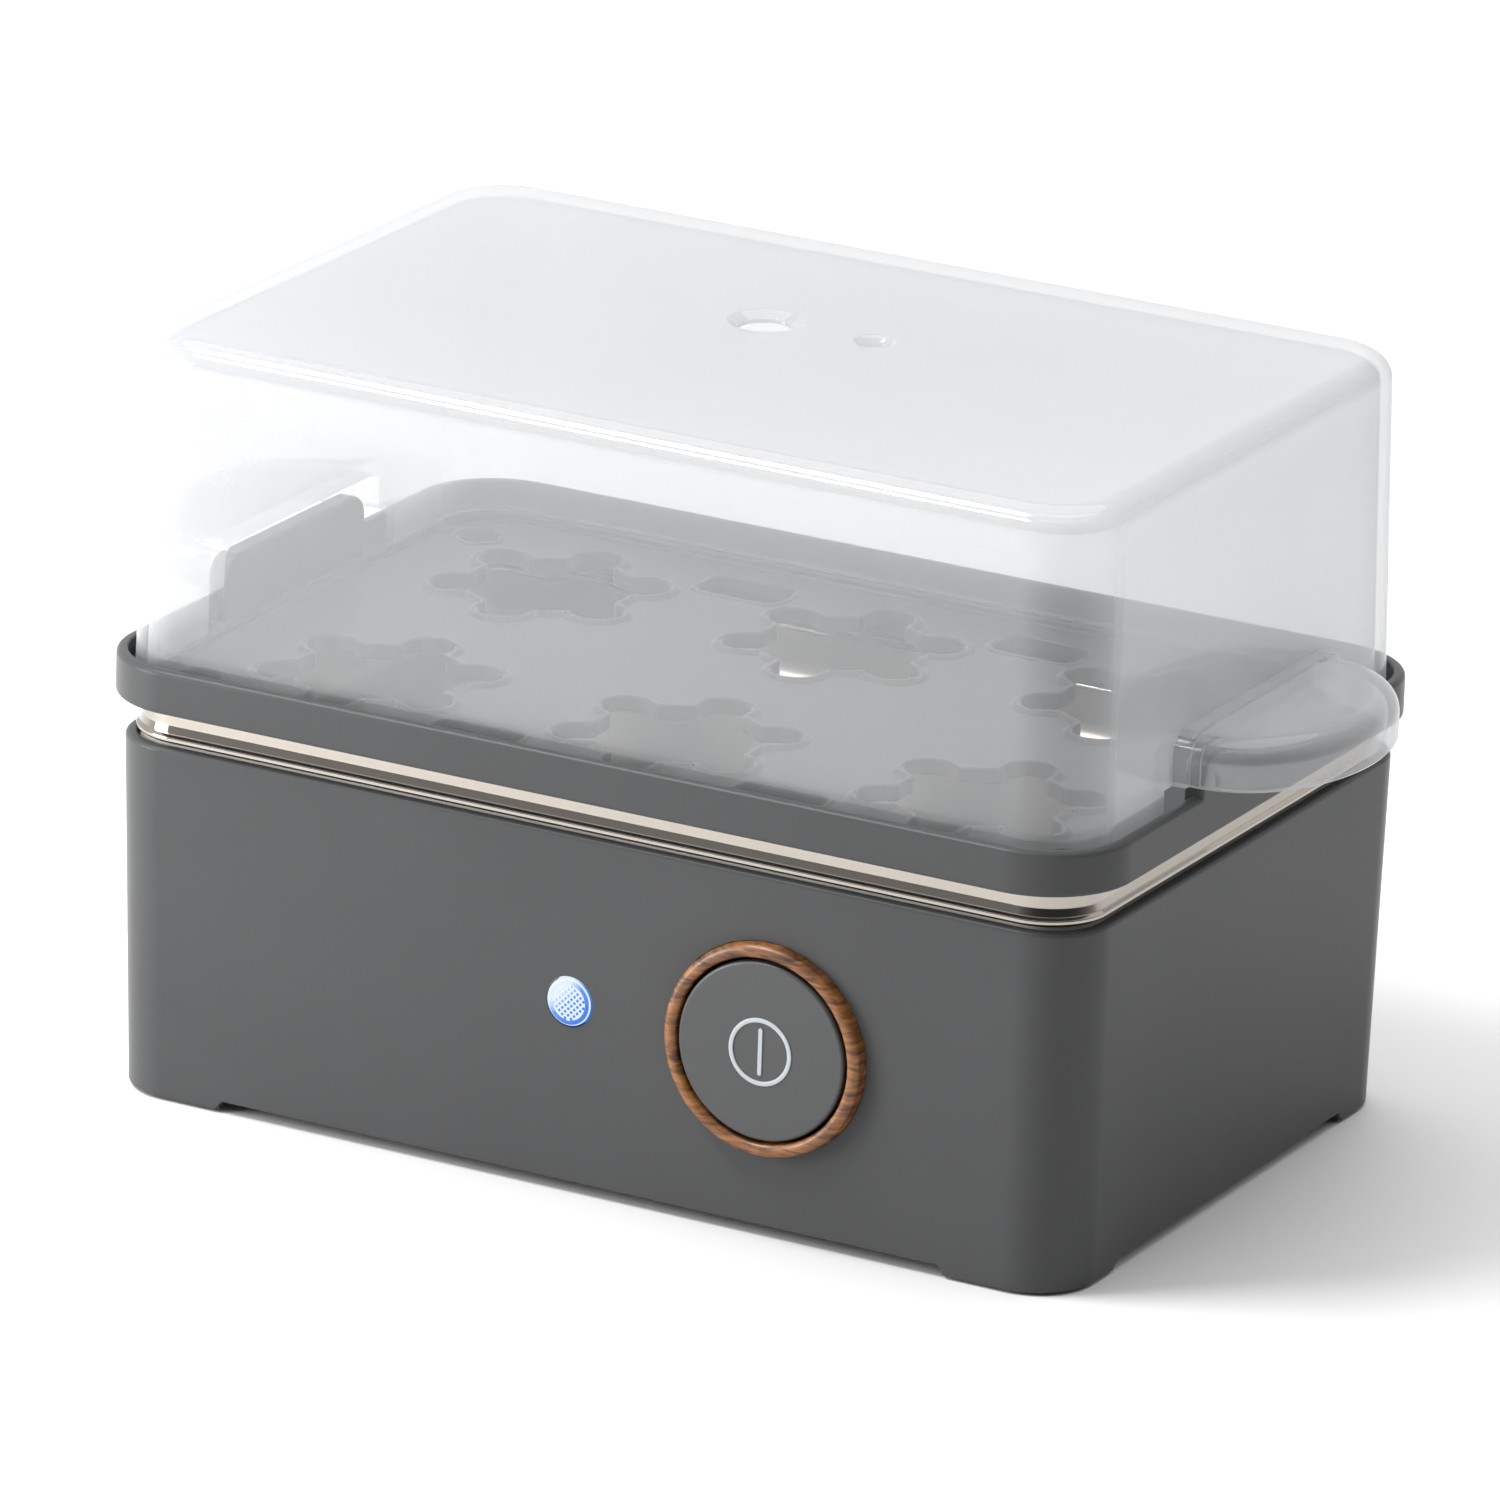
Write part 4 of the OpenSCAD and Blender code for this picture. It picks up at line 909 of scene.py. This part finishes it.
def pyramid(x, z, half, y0, y1):
    """A small blunt pyramid turned 45 degrees, its base at y0 and its tip at y1."""
    corners = ((half, 0), (0, half), (-half, 0), (0, -half))
    sizes = ((1, y0), (1, y0 - 0.05), (0.3, y1))
    return loft("pyramid", [[(x + k * a, y, z + k * b) for a, b in corners] for k, y in sizes])


def indicator_lens():
    """Lens with a diamond pattern of small pyramids on its face."""
    low, high = LENS_LOW.y, LENS_HIGH.y
    flange = (LENS_HIGH.x - LENS_LOW.x) / 2
    face = low + LENS_PYRAMID
    profile = filleted([
        (flange, high, 0), (flange, high - 1, 0.2), (LENS_RADIUS, high - 1, 0.3),
        (LENS_RADIUS, face - 0.05, 0.6), (3.15, face - 0.18, 0.1), (3.0, face, 0), (AXIS, face, 0),
    ])
    lens = lathe("lens", LAMP, profile)
    pitch, half, reach = 0.55, 0.37, 2.9
    pyramids = []
    for i in range(-7, 8):
        for j in range(-7, 8):
            x, z = i * pitch, j * pitch
            if (i + j) % 2 == 0 and math.hypot(x, z) < reach:
                pyramids.append(pyramid(LAMP.x + x, LAMP.z + z, half, face + 0.05, low))
    place(join(lens, pyramids), "base", "lamp_lens", "indicator_lens")


def foot_pads():
    """Rubber pads with a rounded edge and a shallow ring."""
    radius, top = PAD_RADIUS - 0.02, PAD_TOP - 0.02
    profile = [(0, top), (0, 0.35), (-0.1, 0.1), (-0.35, 0), (-1.4, 0), (-1.6, 0.2), (-2.1, 0.2), (-2.3, 0)]
    pads = []
    for x in (-1, 1):
        for y in (-1, 1):
            pads.append(prism("pad", circle(x * PAD_X, y * PAD_Y, radius, 48), profile))
    pads[0].name = "rubber_pads"
    place(join(pads[0], pads[1:]), "base", "pad_rubber", "foot_pads")


def cord_gland():
    """Bushing in the back wall, held between its lip and its flange and open for the cord."""
    low, high = GLAND_LOW.y, GLAND_HIGH.y
    bore, neck, flange, sleeve = 3.5, GLAND_NECK, GLAND_FLANGE, 5.75
    lip, lip_low, lip_high = 7.3, 53.6, 55.4
    seat, face = GLAND_SEAT, GLAND_SEAT + 1.8
    profile = filleted([
        (bore, low, 0), (neck, low, 0.3), (neck, lip_low, 0.2), (lip, lip_low, 0.3), (lip, lip_high, 0.3),
        (neck, lip_high, 0.2), (neck, seat, 0.1), (flange, seat, 0.3), (flange, face, 0.7),
        (sleeve + 0.55, face, 0.3), (sleeve, face + 0.6, 0.2), (sleeve, high, 0.5), (bore, high, 0.4),
    ], steps=4)
    bushing = lathe("bushing", GLAND, profile, closed=True, steps=96)
    rubber = moulded("bushing_rubber", (0.024, 0.025, 0.027)).material
    place(bushing, "base", "pad_rubber", "cord_gland", material=rubber)


# ---------- Stage ----------

LOOK_AT = Vector((0, 0, 0.06))  # where the lights aim, in metres


def floor():
    bm = bmesh.new()
    bmesh.ops.create_grid(bm, x_segments=8, y_segments=8, size=6)
    obj = from_bmesh("floor", bm)
    s = moulded("floor_paper", (0.78, 0.78, 0.78), rough=(0.7, 0.8), grain=4, spread=0.005)
    obj.data.materials.append(s.material)


def direction(azimuth, elevation):
    """Unit vector towards an azimuth and elevation in degrees. Azimuth 0 is the front, 90 the right."""
    a, e = math.radians(azimuth), math.radians(elevation)
    return Vector((math.sin(a) * math.cos(e), -math.cos(a) * math.cos(e), math.sin(e)))


def light(name, kind, azimuth, elevation, energy, place_at=(0, 0, 0)):
    """A light that shines from a direction."""
    data = bpy.data.lights.new(name, kind)
    data.energy = energy
    obj = new_object(name, data)
    obj.location = place_at
    obj.rotation_euler = direction(azimuth, elevation).to_track_quat("Z", "Y").to_euler()
    return data


def soft_box(name, azimuth, elevation, distance, size, power):
    """An area light that looks at the cooker from a direction."""
    place_at = LOOK_AT + direction(azimuth, elevation) * distance
    data = light(name, "AREA", azimuth, elevation, power, place_at)
    data.shape = "RECTANGLE"
    data.size, data.size_y = size


def sun(azimuth, elevation, strength, angle):
    """A very soft distant light from a direction."""
    light("sun", "SUN", azimuth, elevation, strength).angle = math.radians(angle)


def world():
    """Even grey from the front and right, bright from behind and from the left."""
    data = bpy.data.worlds.new("studio")
    data.use_nodes = True
    tree = data.node_tree
    where = tree.nodes.new("ShaderNodeTexCoord")
    dot = tree.nodes.new("ShaderNodeVectorMath")
    dot.operation = "DOT_PRODUCT"
    dot.inputs[1].default_value = Vector((-0.55, 0.60, 0.58)).normalized()
    tree.links.new(where.outputs["Generated"], dot.inputs[0])
    spread = tree.nodes.new("ShaderNodeMapRange")
    spread.interpolation_type = "SMOOTHSTEP"
    limits = {"From Min": -0.7, "From Max": 0.6, "To Min": 0.05, "To Max": 1.0}
    for key, value in limits.items():
        spread.inputs[key].default_value = value
    tree.links.new(dot.outputs["Value"], spread.inputs["Value"])
    background = tree.nodes["Background"]
    background.inputs["Color"].default_value = (1, 1, 1, 1)
    tree.links.new(spread.outputs["Result"], background.inputs["Strength"])
    bpy.context.scene.world = data


def camera():
    """The photograph's view: azimuth and elevation of the camera, its roll and its place."""
    azimuth, elevation = 28.531, 18.775
    roll = math.radians(-1.831)
    back = direction(azimuth, elevation)
    right = direction(azimuth + 90, 0)
    up = back.cross(right)
    turned_right = right * math.cos(roll) - up * math.sin(roll)
    turned_up = right * math.sin(roll) + up * math.cos(roll)
    data = bpy.data.cameras.new("camera")
    data.lens = 292.87
    data.sensor_width = 36
    data.clip_end = 50
    obj = new_object("camera", data)
    place_at = Vector((0.90338, -1.66487, 0.70332))
    turn = Matrix((turned_right, turned_up, back)).transposed()
    obj.matrix_world = Matrix.Translation(place_at) @ turn.to_4x4()
    bpy.context.scene.camera = obj


# ---------- The whole object ----------

camera()
world()
floor()
sun(azimuth=-150, elevation=72, strength=1.1, angle=60)
soft_box("key", azimuth=-50, elevation=10, distance=0.60, size=(0.25, 0.3), power=2.9)
soft_box("overhead", azimuth=-54, elevation=56, distance=1.5, size=(0.6, 0.25), power=17)

housing()
heating_pan()
egg_tray()
lid()
button_bezel()
power_button()
button_spring()
power_icon()
indicator_lens()
foot_pads()
cord_gland()

for part in frame["record"]["subparts"]:
    node = frame["nodes"][part["node"]]
    for holder in node.material_slots:
        holder.material = MATERIALS[part["material_slot"]]

scene = bpy.context.scene
scene.view_settings.view_transform = "Standard"
scene.cycles.transparent_max_bounces = 24  # a ray may cross the lid and both its handles
scene.cycles.caustics_reflective = False  # the pan throws no bright specks
